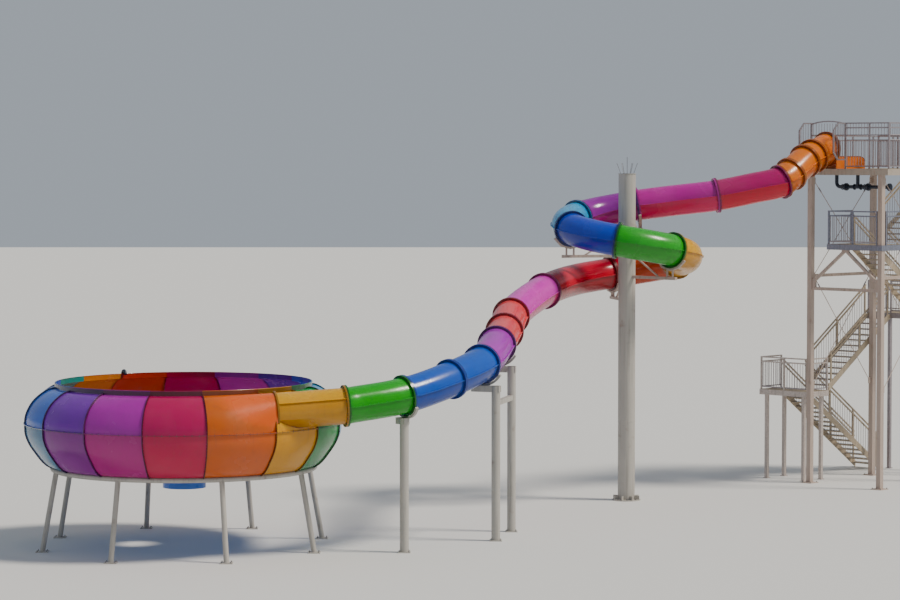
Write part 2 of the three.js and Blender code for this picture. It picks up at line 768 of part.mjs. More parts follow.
// The start trough: a half pipe with a rounded rear corner, between skirts that reach the deck
function startTrough() {
  const back = START_DIRECTION.clone().normalize().negate();
  const frame = frameOf(controlPoints[0], back);
  const edge = GAP / 2;
  const pipe = loopOfRings([
    ring(frame, FLANGE_OUTER, edge),
    ring(frame, FLANGE_OUTER, edge + FLANGE_THICK),
    ring(frame, TUBE_OUTER, edge + FLANGE_THICK),
    ring(frame, TUBE_OUTER, TROUGH_LENGTH),
    ring(frame, TUBE_BORE, TROUGH_LENGTH),
    ring(frame, TUBE_BORE, edge),
  ]);
  const side = new THREE.Shape();
  side.moveTo(-TUBE_OUTER, -2 * TUBE_OUTER);
  side.lineTo(2 * TROUGH_LENGTH, -2 * TUBE_OUTER);
  side.lineTo(2 * TROUGH_LENGTH, TROUGH_REAR_TOP);
  side.lineTo(TROUGH_LENGTH, TROUGH_REAR_TOP);
  side.quadraticCurveTo(TROUGH_LENGTH, TROUGH_TOP, TROUGH_LENGTH - TROUGH_CORNER, TROUGH_TOP);
  side.lineTo(-TUBE_OUTER, TROUGH_TOP);
  const keep = new THREE.ExtrudeGeometry(side, {
    depth: 4 * TUBE_OUTER,
    bevelEnabled: false,
    curveSegments: TROUGH_CORNER_STEPS,
  });
  keep.translate(0, 0, -2 * TUBE_OUTER);
  const across = frame.tangent.clone().cross(UP);
  keep.applyMatrix4(new THREE.Matrix4().makeBasis(frame.tangent, UP, across).setPosition(frame.point));
  const deckGap = frame.point.z - DECK_LEVEL - GAP;
  const skirts = [-1, 1].map((way) => {
    const middle = (TROUGH_SKIRT[0] + TROUGH_SKIRT[1]) / 2;
    const shift = across.clone().multiplyScalar(way * middle);
    const place = (length) =>
      frame.point
        .clone()
        .addScaledVector(frame.tangent, length)
        .add(shift)
        .setZ(frame.point.z - deckGap / 2);
    return bar(place(edge), place(TROUGH_LENGTH), TROUGH_SKIRT[1] - TROUGH_SKIRT[0], deckGap);
  });
  const feet = TROUGH_FEET.map((shift) => {
    const centre = frame.point.clone().addScaledVector(frame.tangent, shift);
    const half = across.clone().multiplyScalar(TROUGH_FOOT_WIDTH / 2);
    const low = centre.clone().setZ(centre.z - (deckGap + TUBE_BORE) / 2 + GAP);
    const depth = deckGap - TUBE_BORE;
    return bar(low.clone().sub(half), low.clone().add(half), TROUGH_FOOT_THICK, depth);
  });
  const shell = solidOf(pipe).add(joined(skirts)).intersect(solidOf(keep));
  return geometryOf(largest(shell.add(joined(feet))));
}

// Stair tower pieces, in the tower's own frame
function towerPost(u, v) {
  return geometryOf(
    joined([
      block(square(u, POST_SIZE), square(v, POST_SIZE), [0, DECK_LEVEL - DECK_BEAM - GAP]),
      block(square(u, POST_PLATE), square(v, POST_PLATE), [0, FOOT_PLATE_THICK]),
    ]),
  );
}

// A guard along a straight line: posts, top rail and second rail
function guardLine(from, to, base, height) {
  const run = new THREE.Vector2(to[0] - from[0], to[1] - from[1]);
  const count = Math.max(1, Math.round(run.length() / POST_PITCH));
  const point = (t, z) => vector(from[0] + run.x * t, from[1] + run.y * t, base + z);
  const pieces = [height, height - RAIL_DROP].map((z) =>
    bar(point(0, z - RAIL / 2), point(1, z - RAIL / 2), RAIL, RAIL),
  );
  for (let i = 0; i <= count; i += 1) {
    pieces.push(bar(point(i / count, 0), point(i / count, height - LAP), RAIL_POST, RAIL_POST));
  }
  return pieces;
}

function slab(u, v, level) {
  const beams = [
    [[u[0], u[0] + FASCIA_WIDTH], v],
    [[u[1] - FASCIA_WIDTH, u[1]], v],
    [u, [v[0], v[0] + FASCIA_WIDTH]],
    [u, [v[1] - FASCIA_WIDTH, v[1]]],
  ];
  return [
    block(u, v, [level - SLAB_THICK, level]),
    ...beams.map(([bu, bv]) => block(bu, bv, [level - FASCIA_DEPTH, level - LAP])),
  ];
}

function leg(u, v, level) {
  return [
    block(square(u, LANDING_LEG), square(v, LANDING_LEG), [0, level - SLAB_THICK / 2]),
    block(square(u, LEG_PLATE), square(v, LEG_PLATE), [0, FOOT_PLATE_THICK]),
  ];
}

function lowLanding() {
  const [u0, u1] = [FLIGHTS[0].lane[0], FLIGHTS[1].lane[1]];
  const [v0, v1] = [LOW_LANDING_NEAR, NEAR_EDGE];
  const inset = GUARD_INSET;
  const guard = [
    ...guardLine([u0 + inset, v1 - inset], [u0 + inset, v0 + inset], LOW_LEVEL, GUARD_HEIGHT),
    ...guardLine([u0 + inset, v0 + inset], [u1 - inset, v0 + inset], LOW_LEVEL, GUARD_HEIGHT),
    ...guardLine([u1 - inset, v0 + inset], [u1 - inset, v1 - inset], LOW_LEVEL, GUARD_HEIGHT),
  ];
  const legs = [u0 + LEG_INSET, u1 - LEG_INSET].flatMap((u) =>
    [v0 + LANDING_LEG, v1 - LANDING_LEG].flatMap((v) => leg(u, v, LOW_LEVEL)),
  );
  return geometryOf(joined([...slab([u0, u1], [v0, v1], LOW_LEVEL), ...guard, ...legs]));
}

function rightLanding() {
  const [u0, u1] = [FLIGHTS[1].lane[0], FLIGHTS[2].lane[1] + LANDING_LAP];
  const [v0, v1] = [FAR_EDGE, FAR_EDGE + LANDING_DEPTH];
  const laneGap = [FLIGHTS[1].lane[1], FLIGHTS[2].lane[0]];
  const inset = GUARD_INSET;
  const guard = [
    ...guardLine([u0 + inset, v0 + inset], [u0 + inset, v1 - inset], RIGHT_LEVEL, GUARD_HEIGHT),
    ...guardLine([u0 + inset, v1 - inset], [u1 - inset, v1 - inset], RIGHT_LEVEL, GUARD_HEIGHT),
    ...guardLine([u1 - inset, v1 - inset], [u1 - inset, v0 + inset], RIGHT_LEVEL, GUARD_HEIGHT),
    ...guardLine([laneGap[0], v0 + inset], [laneGap[1], v0 + inset], RIGHT_LEVEL, GUARD_HEIGHT),
  ];
  const legs = [u0 + LEG_INSET, u1 - LEG_INSET].flatMap((u) =>
    [v0 + LANDING_LEG, v1 - LANDING_LEG].flatMap((v) => leg(u, v, RIGHT_LEVEL)),
  );
  const { size } = DECK_POSTS;
  const deckPosts = DECK_POSTS.u.map((u) =>
    block(square(u, size), square(DECK_POSTS.v, size), [0, DECK_LEVEL - DECK_BEAM - GAP]),
  );
  return geometryOf(joined([...slab([u0, u1], [v0, v1], RIGHT_LEVEL), ...guard, ...legs, ...deckPosts]));
}

function midLanding() {
  const [u0, u1] = [MID_LANDING_LEFT, BAY_WIDTH + POST_SIZE / 2 + POST_COVER];
  const [v0, v1] = [-POST_SIZE / 2 - POST_COVER, NEAR_EDGE];
  const inset = GUARD_INSET;
  const postFace = POST_SIZE / 2 + GAP;
  const guard = [
    ...guardLine([u0 + inset, v1 - inset], [u0 + inset, v0 + inset], MID_LEVEL, GUARD_HEIGHT),
    ...guardLine([u0 + inset, v0 + inset], [BAY_WIDTH - 3 * inset, v0 + inset], MID_LEVEL, GUARD_HEIGHT),
    ...guardLine([u1 - inset, POST_SIZE], [u1 - inset, v1 - inset], MID_LEVEL, GUARD_HEIGHT),
  ];
  const postRoom = block(
    [BAY_WIDTH - postFace, BAY_WIDTH + postFace],
    [-postFace, postFace],
    [0, DECK_LEVEL],
  );
  const rodRoom = block(
    square(BAY_WIDTH, ROD_SLOT.width),
    [ROD_SLOT.from, v1 + LAP],
    [MID_LEVEL - FASCIA_DEPTH - LAP, MID_LEVEL + LAP],
  );
  const whole = joined([...slab([u0, u1], [v0, v1], MID_LEVEL), ...guard]);
  return geometryOf(largest(whole.subtract(solidOf(postRoom)).subtract(solidOf(rodRoom))));
}

// One flight: two stringers, open treads, and a double handrail at each side
function stairFlight({ lane, foot, risers, way }) {
  const treads = risers - 1;
  const run = treads * GOING;
  const startV = way > 0 ? FAR_EDGE - run : NEAR_EDGE + run;
  const at = (distance) => startV + way * distance;
  const pieces = [];
  const slope = RISER / GOING;
  const noseHeight = (distance) => foot + RISER + distance * slope;
  const [near, far] = [GAP, run - GAP];
  const side = new THREE.Shape([
    new THREE.Vector2(at(near), noseHeight(near) - STRINGER_BELOW),
    new THREE.Vector2(at(far), noseHeight(far) - STRINGER_BELOW),
    new THREE.Vector2(at(far), noseHeight(far) + STRINGER_ABOVE - RISER / 2),
    new THREE.Vector2(at(far - GOING / 2), noseHeight(far - GOING / 2) + STRINGER_ABOVE),
    new THREE.Vector2(at(near), noseHeight(near) + STRINGER_ABOVE),
  ]);
  const laneFaces = [lane[0], lane[1] - STRINGER_THICK];
  laneFaces.forEach((u) => {
    const plate = new THREE.ExtrudeGeometry(side, { depth: STRINGER_THICK, bevelEnabled: false });
    const turned = new THREE.Matrix4().makeBasis(vector(0, 1, 0), UP, vector(1, 0, 0));
    pieces.push(plate.applyMatrix4(turned).translate(u, 0, 0));
  });
  const inner = [lane[0] + STRINGER_THICK - TREAD_BITE, lane[1] - STRINGER_THICK + TREAD_BITE];
  for (let k = 1; k <= treads; k += 1) {
    const level = foot + k * RISER;
    const span = [at((k - 1) * GOING + GAP), at((k - 1) * GOING + TREAD_DEPTH)].sort((a, b) => a - b);
    pieces.push(block(inner, span, [level - TREAD_THICK, level]));
  }
  const posts = Math.max(2, Math.round(run / HANDRAIL_PITCH));
  [lane[0] + HANDRAIL_INSET, lane[1] - HANDRAIL_INSET].forEach((u) => {
    const first = GOING / 2;
    const last = run - GOING / 2;
    const rail = (height) =>
      bar(
        vector(u, at(first - RAIL_POST), noseHeight(first - RAIL_POST) + height),
        vector(u, at(last + RAIL_POST), noseHeight(last + RAIL_POST) + height),
        RAIL,
        RAIL,
      );
    pieces.push(rail(HANDRAIL_HEIGHT), rail(HANDRAIL_HEIGHT - RAIL_DROP));
    for (let i = 0; i <= posts; i += 1) {
      const distance = first + ((last - first) * i) / posts;
      const low = vector(u, at(distance), noseHeight(distance) - STRINGER_BELOW / 2);
      const high = low.clone().setZ(noseHeight(distance) + HANDRAIL_HEIGHT);
      pieces.push(bar(low, high, HANDRAIL_POST, RAIL_POST));
    }
  });
  const ground = block([-FAR, FAR], [-FAR, FAR], [-FAR, 0]);
  return geometryOf(largest(joined(pieces).subtract(solidOf(ground))));
}

function deck() {
  const edge = DECK_EDGE;
  const beamDepth = [DECK_LEVEL - DECK_BEAM, DECK_LEVEL - LAP];
  const plate = block([-edge, DECK_RIGHT], [-edge, DECK_LENGTH], [DECK_LEVEL - SLAB_THICK, DECK_LEVEL]);
  const beams = [
    block([-edge, edge], [-edge, DECK_LENGTH], beamDepth),
    block([BAY_WIDTH - DECK_BEAM / 2, BAY_WIDTH + DECK_BEAM / 2], [-edge, DECK_LENGTH], beamDepth),
    block([DECK_RIGHT - FASCIA_WIDTH, DECK_RIGHT], [-edge, DECK_LENGTH], beamDepth),
    block([-edge, DECK_RIGHT], [-edge, edge], beamDepth),
    block([-edge, DECK_RIGHT], [DECK_LENGTH - DECK_BEAM, DECK_LENGTH], beamDepth),
    block([0, WELL.u[0]], square(BAY_LENGTH, DECK_BEAM), beamDepth),
    block([WELL.u[0] - TRIMMER, WELL.u[1]], [WELL.v[0] - TRIMMER, WELL.v[1] + TRIMMER], beamDepth),
  ];
  const well = block(WELL.u, [WELL.v[0], WELL.v[1]], [DECK_LEVEL - 2 * DECK_BEAM, DECK_LEVEL + DECK_BEAM]);
  return geometryOf(joined([plate, ...beams]).subtract(solidOf(well)));
}

// The panel that stands out past the deck's edge beside the flume, with cut corners
function wing(u, base) {
  const outline = [
    [0, TALL_GUARD_HEIGHT],
    [-WING_REACH + WING_CHAMFER, TALL_GUARD_HEIGHT],
    [-WING_REACH, TALL_GUARD_HEIGHT - WING_CHAMFER],
    [-WING_REACH, WING_FOOT + WING_CHAMFER],
    [-WING_REACH + WING_CHAMFER, WING_FOOT],
    [0, WING_FOOT],
  ];
  const corners = outline.map(([v, z]) => vector(u, v, base + z - RAIL / 2));
  return corners.slice(1).map((corner, i) => bar(corners[i], corner, RAIL, RAIL));
}

function deckGuard() {
  const base = DECK_LEVEL + GAP;
  const right = DECK_RIGHT - GUARD_INSET;
  const back = DECK_LENGTH - 2 * GUARD_INSET;
  const arch = new THREE.QuadraticBezierCurve3(
    vector(0, 0, base + TALL_GUARD_HEIGHT - RAIL),
    vector(PORTAL_RIGHT / 2, 0, base + TALL_GUARD_HEIGHT - RAIL + 2 * ARCH_RISE),
    vector(PORTAL_RIGHT, 0, base + TALL_GUARD_HEIGHT - RAIL),
  ).getPoints(ARCH_STEPS);
  const tallPost = (u, v) =>
    bar(vector(u, v, base), vector(u, v, base + TALL_GUARD_HEIGHT), RAIL_POST, RAIL_POST);
  const wellEdge = WELL.u[0] - GUARD_INSET;
  const wellEnd = WELL.v[0] - GUARD_INSET;
  const pieces = [
    ...guardLine([0, 0], [0, back], base, GUARD_HEIGHT),
    ...guardLine([0, back], [right, back], base, GUARD_HEIGHT),
    ...guardLine([right, back], [right, 0], base, TALL_GUARD_HEIGHT),
    ...guardLine([right, 0], [FRONT_POST, 0], base, TALL_GUARD_HEIGHT),
    ...guardLine([FRONT_POST, 0], [PORTAL_RIGHT, 0], base, TALL_GUARD_HEIGHT),
    ...guardLine([right, wellEnd], [wellEdge, wellEnd], base, GUARD_HEIGHT),
    ...guardLine([wellEdge, wellEnd], [wellEdge, WELL.v[1]], base, GUARD_HEIGHT),
    ...wing(0, base),
    ...wing(PORTAL_RIGHT, base),
    tallPost(0, 0),
    tallPost(right, wellEnd),
    ...arch.slice(1).map((point, i) => bar(arch[i], point, RAIL, RAIL)),
  ];
  return geometryOf(joined(pieces));
}

// Crossed rods and a strut between two posts, in the plane of local y and z
function sideBrace(u) {
  const face = POST_SIZE / 2 + GAP;
  const span = [face, BAY_LENGTH - face];
  const strut = bar(vector(u, span[0], SIDE_STRUT_LEVEL), vector(u, span[1], SIDE_STRUT_LEVEL), STRUT, STRUT);
  const inset = GUSSET_REACH / 2;
  const ends = [span[0] + inset, span[1] - inset];
  const rods = [
    [ROD_TOP, SIDE_STRUT_LEVEL],
    [SIDE_STRUT_LEVEL, ROD_FOOT],
  ].flatMap(([top, foot]) => [
    rod(vector(u, ends[0], top), vector(u, ends[1], foot), BRACE_ROD, ROD_SIDES),
    rod(vector(u, ends[1], top), vector(u, ends[0], foot), BRACE_ROD, ROD_SIDES),
  ]);
  const gussets = [ROD_TOP, SIDE_STRUT_LEVEL, ROD_FOOT].flatMap((level) =>
    [
      [span[0], span[0] + GUSSET_REACH],
      [span[1] - GUSSET_REACH, span[1]],
    ].map((v) => block(square(u, GUSSET_THICK), v, square(level, GUSSET_HEIGHT))),
  );
  return geometryOf(joined([strut, ...rods, ...gussets]));
}

// The strut between the near posts and the V that carries the middle landing
function frontBrace() {
  const face = POST_SIZE / 2 + GAP;
  const span = [face, BAY_WIDTH - face];
  const apex = MID_LEVEL - FASCIA_DEPTH - GAP;
  const middle = BAY_WIDTH / 2;
  const inset = V_STRUT / 2;
  const pieces = [
    bar(vector(span[0], 0, FRONT_STRUT_LEVEL), vector(span[1], 0, FRONT_STRUT_LEVEL), STRUT, STRUT),
    block(square(middle, 3 * V_STRUT), square(0, V_STRUT), [apex - V_STRUT, apex]),
  ];
  [
    [span[0], inset],
    [span[1], -inset],
  ].forEach(([end, shift]) => {
    const foot = vector(end + shift, 0, V_FOOT_LEVEL);
    pieces.push(bar(foot, vector(middle - shift, 0, apex - inset), V_STRUT, V_STRUT));
    const reach = [end, end + Math.sign(shift) * GUSSET_REACH].sort((a, b) => a - b);
    pieces.push(block(reach, square(0, V_STRUT), [FRONT_STRUT_LEVEL - STRUT / 2, V_FOOT_LEVEL + V_STRUT]));
  });
  return geometryOf(joined(pieces));
}

function waterPipes() {
  const deckUnder = DECK_LEVEL - SLAB_THICK - GAP;
  const along = (u, z = PIPE_LEVEL) => vector(u, PIPE_V, z);
  const pieces = [rod(along(PIPE_RUN[0]), along(PIPE_RUN[1]), PIPE_RADIUS, PIPE_SIDES)];
  PIPE_DROPS.forEach((u) => {
    pieces.push(rod(along(u, PIPE_LEVEL - PIPE_RADIUS), along(u, deckUnder), PIPE_DROP_RADIUS, PIPE_SIDES));
  });
  PIPE_VALVES.forEach((u) => {
    pieces.push(rod(along(u - VALVE_LENGTH / 2), along(u + VALVE_LENGTH / 2), VALVE_RADIUS, PIPE_SIDES));
  });
  return geometryOf(joined(pieces));
}

// The scene graph
const group = new THREE.Group();
const flume = new THREE.Group();
const bowl = new THREE.Group();
const centre = new THREE.Group();
const tower = new THREE.Group();
tower.position.set(TOWER_X, TOWER_Y, 0);
tower.rotation.z = TOWER_TURN * DEGREE;
group.add(flume, bowl, centre, tower);

const FINISH = {
  shell: { roughness: 0.25, metalness: 0 },
  paint: { roughness: 0.5, metalness: 0.1 },
  zinc: { roughness: 0.45, metalness: 0.6 },
};

function add(parent, name, geometry, colour, finish) {
  const look = { color: COLOUR[colour], flatShading: true, ...FINISH[finish] };
  const material = new THREE.MeshStandardMaterial(look);
  const mesh = new THREE.Mesh(geometry, material);
  mesh.name = name;
  parent.add(mesh);
}

add(flume, "start_trough", startTrough(), "orange", "shell");
FLUME.forEach(({ name, colour, from, to, steps }) => {
  add(flume, name, flumeSection(framesBetween(from, to, steps)), colour, "shell");
});
add(flume, "flume_bowl_entry", entryTube(), "yellow", "shell");

const entryRoom = entryCutter();
for (let i = 0; i < BOWL_WALLS; i += 1) {
  const wall = largest(solidOf(bowlWall(i)).subtract(entryRoom));
  add(bowl, "bowl_wall_" + (i + 1), geometryOf(wall), BOWL_COLOURS[i], "shell");
}
add(bowl, "bowl_floor", bowlFloor(), "blue", "shell");
add(bowl, "bowl_frame_near", bowlFrameHalf(0), "column", "paint");
add(bowl, "bowl_frame_far", bowlFrameHalf(1), "column", "paint");

add(centre, "column", column(), "column", "paint");
ARMS.forEach((arm, i) => add(centre, "column_arm_" + (i + 1), columnArm(arm), "steel", "paint"));
add(centre, "twin_pylon", twinPylon(), "column", "paint");
add(centre, "single_pylon", lonePost(), "column", "paint");

[
  ["tower_post_near_left", 0, 0],
  ["tower_post_near_right", BAY_WIDTH, 0],
  ["tower_post_far_left", 0, BAY_LENGTH],
  ["tower_post_far_right", BAY_WIDTH, BAY_LENGTH],
].forEach(([name, u, v]) => add(tower, name, towerPost(u, v), "steel", "paint"));
add(tower, "side_brace_left", sideBrace(0), "steel", "paint");
add(tower, "side_brace_right", sideBrace(BAY_WIDTH), "steel", "paint");
add(tower, "front_brace", frontBrace(), "steel", "paint");
add(tower, "low_landing", lowLanding(), "rail", "zinc");
add(tower, "right_landing", rightLanding(), "rail", "zinc");
add(tower, "middle_landing", midLanding(), "rail", "zinc");
FLIGHTS.forEach((flight) => add(tower, flight.name, stairFlight(flight), "tread", "paint"));
add(tower, "deck", deck(), "steel", "paint");
add(tower, "deck_guard", deckGuard(), "rail", "zinc");
add(tower, "water_pipes", waterPipes(), "navy", "paint");

export default group;
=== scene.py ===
# %% [markdown]
# # A water slide tower
# A steel stair tower carries a deck with a start trough, and an enclosed flume runs down from it.
# The flume turns once round a column and ends in a round bowl on legs. This lesson dresses the
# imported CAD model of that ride. The steel of the tower keeps its CAD solids, and gets paint, bars
# and boards. The moulded shells are made again, round and bolted, along the same lines.

import math

import bmesh
import bpy
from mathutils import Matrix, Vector


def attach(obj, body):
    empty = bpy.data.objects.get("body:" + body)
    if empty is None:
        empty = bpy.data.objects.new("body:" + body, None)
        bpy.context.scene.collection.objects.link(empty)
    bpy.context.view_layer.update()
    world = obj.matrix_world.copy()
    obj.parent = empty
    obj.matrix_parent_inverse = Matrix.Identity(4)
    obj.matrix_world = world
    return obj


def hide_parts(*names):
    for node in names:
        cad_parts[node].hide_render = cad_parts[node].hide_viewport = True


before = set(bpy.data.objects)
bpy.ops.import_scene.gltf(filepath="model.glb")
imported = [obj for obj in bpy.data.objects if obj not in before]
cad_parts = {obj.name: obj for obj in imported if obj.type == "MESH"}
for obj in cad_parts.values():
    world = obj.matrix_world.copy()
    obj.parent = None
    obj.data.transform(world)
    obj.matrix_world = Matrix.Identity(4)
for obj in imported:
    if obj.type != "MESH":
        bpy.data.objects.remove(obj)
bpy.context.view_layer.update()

# %% [markdown]
# ## Small helpers
# A few short functions carry most of the file. One adds a node with its settings and links. One
# turns a colour given as an sRGB hex value into the linear numbers that shaders want. Two give
# equal steps round a turn and a level direction, since so much here is round. The last two start
# and end a Geometry Nodes tree with named inputs, so that each size has a label.


# %% Nodes, colours and turns
def set_inputs(tree, node, inputs):
    """Each input gets a plain value or a link from the output of another node."""
    for key, value in inputs.items():
        if isinstance(value, bpy.types.NodeSocket):
            tree.links.new(value, node.inputs[key])
        else:
            node.inputs[key].default_value = value


def add_node(tree, kind, inputs=None, **settings):
    """One node with its settings and its links."""
    made = tree.nodes.new(kind)
    for key, value in settings.items():
        setattr(made, key, value)
    set_inputs(tree, made, inputs or {})
    return made


def linear(hex_text, share=1.0):
    """An sRGB hex colour as linear red, green, blue and alpha, dimmed to a share of itself."""
    channels = [int(hex_text[i : i + 2], 16) / 255 for i in (1, 3, 5)]
    lit = [c / 12.92 if c <= 0.04045 else ((c + 0.055) / 1.055) ** 2.4 for c in channels]
    return [share * c for c in lit] + [1.0]


def turns_of(count):
    """The angles of equal steps round a whole turn, in radians."""
    return [2 * math.pi * i / count for i in range(count)]


def level_way(turn):
    """The level direction at an angle from x, in radians."""
    return Vector((math.cos(turn), math.sin(turn), 0))


print("mid grey is", round(linear("#808080")[0], 3), "in linear light")


# %% Start and end of a tree
def new_tree(name, inputs):
    """An empty Geometry Nodes tree with named inputs; gives the tree and its input sockets."""
    tree = bpy.data.node_groups.new(name, "GeometryNodeTree")
    tree.interface.new_socket("Geometry", in_out="INPUT", socket_type="NodeSocketGeometry")
    for label, kind in inputs.items():
        tree.interface.new_socket(label, in_out="INPUT", socket_type="NodeSocket" + kind)
    tree.interface.new_socket("Geometry", in_out="OUTPUT", socket_type="NodeSocketGeometry")
    return tree, tree.nodes.new("NodeGroupInput").outputs


def end_tree(tree, geometry, finish):
    """Every tree ends the same way: instances become real, and the finish goes on."""
    real = add_node(tree, "GeometryNodeRealizeInstances", {"Geometry": geometry})
    painted = add_node(
        tree, "GeometryNodeSetMaterial", {"Geometry": real.outputs[0], "Material": finish}
    )
    add_node(tree, "NodeGroupOutput", {"Geometry": painted.outputs[0]})
    print(tree.name, "has", len(tree.nodes), "nodes")


# %% [markdown]
# ## A tree that sweeps a profile along a path
# Tubes, rails, ribs and panels all have one section that follows a line. A sweep makes them all.
# A plain sweep is free to twist, and a seam would then wander round its tube, so each point of the
# path carries its own upward direction in an attribute called rise, and the tree turns the curve's
# normals to it. The profile is a flat outline: its x runs along rise and its y to the right. Both
# ends are capped, so that each sweep is closed.

# %% The sweep tree
sweep_tree, given = new_tree("Sweep along path", {"Profile": "Object", "Finish": "Material"})
path_curve = add_node(sweep_tree, "GeometryNodeMeshToCurve", {"Mesh": given["Geometry"]})
rise = add_node(
    sweep_tree, "GeometryNodeInputNamedAttribute", {"Name": "rise"}, data_type="FLOAT_VECTOR"
)
upright = add_node(
    sweep_tree,
    "GeometryNodeSetCurveNormal",
    {"Curve": path_curve.outputs[0], "Normal": rise.outputs[0]},
    mode="FREE",
)
outline = add_node(sweep_tree, "GeometryNodeObjectInfo", {"Object": given["Profile"]})
outline_curve = add_node(
    sweep_tree, "GeometryNodeMeshToCurve", {"Mesh": outline.outputs["Geometry"]}
)
swept = add_node(
    sweep_tree,
    "GeometryNodeCurveToMesh",
    {
        "Curve": upright.outputs[0],
        "Profile Curve": outline_curve.outputs[0],
        "Fill Caps": True,
    },
)
end_tree(sweep_tree, swept.outputs[0], given["Finish"])

# %% [markdown]
# ## A tree that sets copies in a row
# Bolts, upright bars, boards and grip strips repeat at an even pitch. The tree cuts a path into
# equal steps and sets one copy of a small mesh at each. The path carries which way a copy stands
# (axis), which way it faces (ahead) and how much it is stretched, so one tree serves them all.

# %% The row tree
row_tree, given = new_tree(
    "Row along path", {"Copy": "Object", "Pitch": "Float", "Finish": "Material"}
)
path_curve = add_node(row_tree, "GeometryNodeMeshToCurve", {"Mesh": given["Geometry"]})
steps = add_node(
    row_tree,
    "GeometryNodeResampleCurve",
    {"Curve": path_curve.outputs[0], "Length": given["Pitch"]},
    mode="LENGTH",
)
carried = {
    key: add_node(
        row_tree, "GeometryNodeInputNamedAttribute", {"Name": key}, data_type="FLOAT_VECTOR"
    ).outputs[0]
    for key in ("axis", "ahead", "stretch")
}
stood = add_node(
    row_tree, "FunctionNodeAlignRotationToVector", {"Vector": carried["axis"]}, axis="Z"
)
faced = add_node(
    row_tree,
    "FunctionNodeAlignRotationToVector",
    {"Rotation": stood.outputs[0], "Vector": carried["ahead"]},
    axis="X",
    pivot_axis="Z",
)
copy = add_node(row_tree, "GeometryNodeObjectInfo", {"Object": given["Copy"]})
copies = add_node(
    row_tree,
    "GeometryNodeInstanceOnPoints",
    {
        "Points": steps.outputs[0],
        "Instance": copy.outputs["Geometry"],
        "Rotation": faced.outputs[0],
        "Scale": carried["stretch"],
    },
)
end_tree(row_tree, copies.outputs[0], given["Finish"])

# %% [markdown]
# ## Running a tree and keeping a plain mesh
# The export drops instances and modifiers, so each tree is run once, its result is kept as a plain
# mesh, and the modifier goes. Doubles are merged, faces are turned outwards, and only edges sharper
# than 32 degrees stay sharp, so that a tube of flat faces shades as a round one.

# %% Paths for the trees
UP = Vector((0, 0, 1))


def path_mesh(runs):
    """Lines for a tree to follow. A run has points, the vectors they carry, and may be closed."""
    points, edges, layers = [], [], {}
    for run in runs:
        first, count = len(points), len(run["points"])
        points += [tuple(p) for p in run["points"]]
        edges += [(first + i, first + i + 1) for i in range(count - 1)]
        if run.get("closed"):
            edges.append((first + count - 1, first))
        for key in ("rise", "axis", "ahead", "stretch"):
            if key in run:
                value = run[key]
                values = value if isinstance(value, list) else [value] * count
                layers.setdefault(key, []).extend(values)
    mesh = bpy.data.meshes.new("path")
    mesh.from_pydata(points, edges, [])
    for key, values in layers.items():
        layer = mesh.attributes.new(key, "FLOAT_VECTOR", "POINT")
        layer.data.foreach_set("vector", [c for value in values for c in value])
    return mesh


def line(start, end, rise_to=UP):
    """A straight run for a sweep, from start to end."""
    return {"points": [Vector(start), Vector(end)], "rise": Vector(rise_to)}


def stand(points, axis, ahead, stretch):
    """A run for a row: where its copies stand, which way up, facing which way, and how large."""
    return {"points": points, "axis": axis, "ahead": ahead, "stretch": stretch}


print("up is", tuple(UP))

# %% Run a tree
WELD = 0.00002
SHARP = math.radians(32)


def new_object(name, data):
    made = bpy.data.objects.new(name, data)
    bpy.context.scene.collection.objects.link(made)
    return made


def clean(mesh):
    """Merges doubles, turns faces outwards and marks the sharp edges."""
    work = bmesh.new()
    work.from_mesh(mesh)
    bmesh.ops.remove_doubles(work, verts=work.verts, dist=WELD)
    bmesh.ops.recalc_face_normals(work, faces=work.faces)
    for face in work.faces:
        face.smooth = True
    for edge in work.edges:
        edge.smooth = edge.calc_face_angle(0.0) < SHARP
    work.to_mesh(mesh)
    work.free()


def run_tree(name, tree, runs, values):
    """An object whose mesh is what the tree makes along these runs."""
    made = new_object(name, path_mesh(runs))
    modifier = made.modifiers.new("Tree", "NODES")
    modifier.node_group = tree
    sockets = {s.name: s.identifier for s in tree.interface.items_tree if s.in_out == "INPUT"}
    for label, value in values.items():
        modifier[sockets[label]] = value
    evaluated = made.evaluated_get(bpy.context.evaluated_depsgraph_get())
    mesh = bpy.data.meshes.new_from_object(evaluated)
    made.modifiers.remove(modifier)
    made.data = mesh
    clean(mesh)
    return made


print("edges sharper than", round(math.degrees(SHARP)), "degrees stay sharp")

# %% Outlines and shapes of copies
helpers = {}


def helper(name, points, edges, faces):
    """A small mesh that trees read: a profile's outline or the shape of a copy."""
    mesh = bpy.data.meshes.new(name)
    mesh.from_pydata([tuple(p) for p in points], edges, faces)
    helpers[name] = new_object(name, mesh)
    return helpers[name]


def outline_of(name, corners):
    """A closed flat outline from its corners, each as (along rise, to the right)."""
    if name in helpers:
        return helpers[name]
    count = len(corners)
    points = [(x, y, 0) for x, y in corners]
    return helper(name, points, [(i, (i + 1) % count) for i in range(count)], [])


def circle_of(radius, sides=24):
    corners = [(radius * math.cos(t), radius * math.sin(t)) for t in turns_of(sides)]
    return outline_of(f"circle {radius} {sides}", corners)


def rectangle_of(tall, wide):
    x, y = tall / 2, wide / 2
    return outline_of(f"rectangle {tall} {wide}", [(x, y), (x, -y), (-x, -y), (-x, y)])


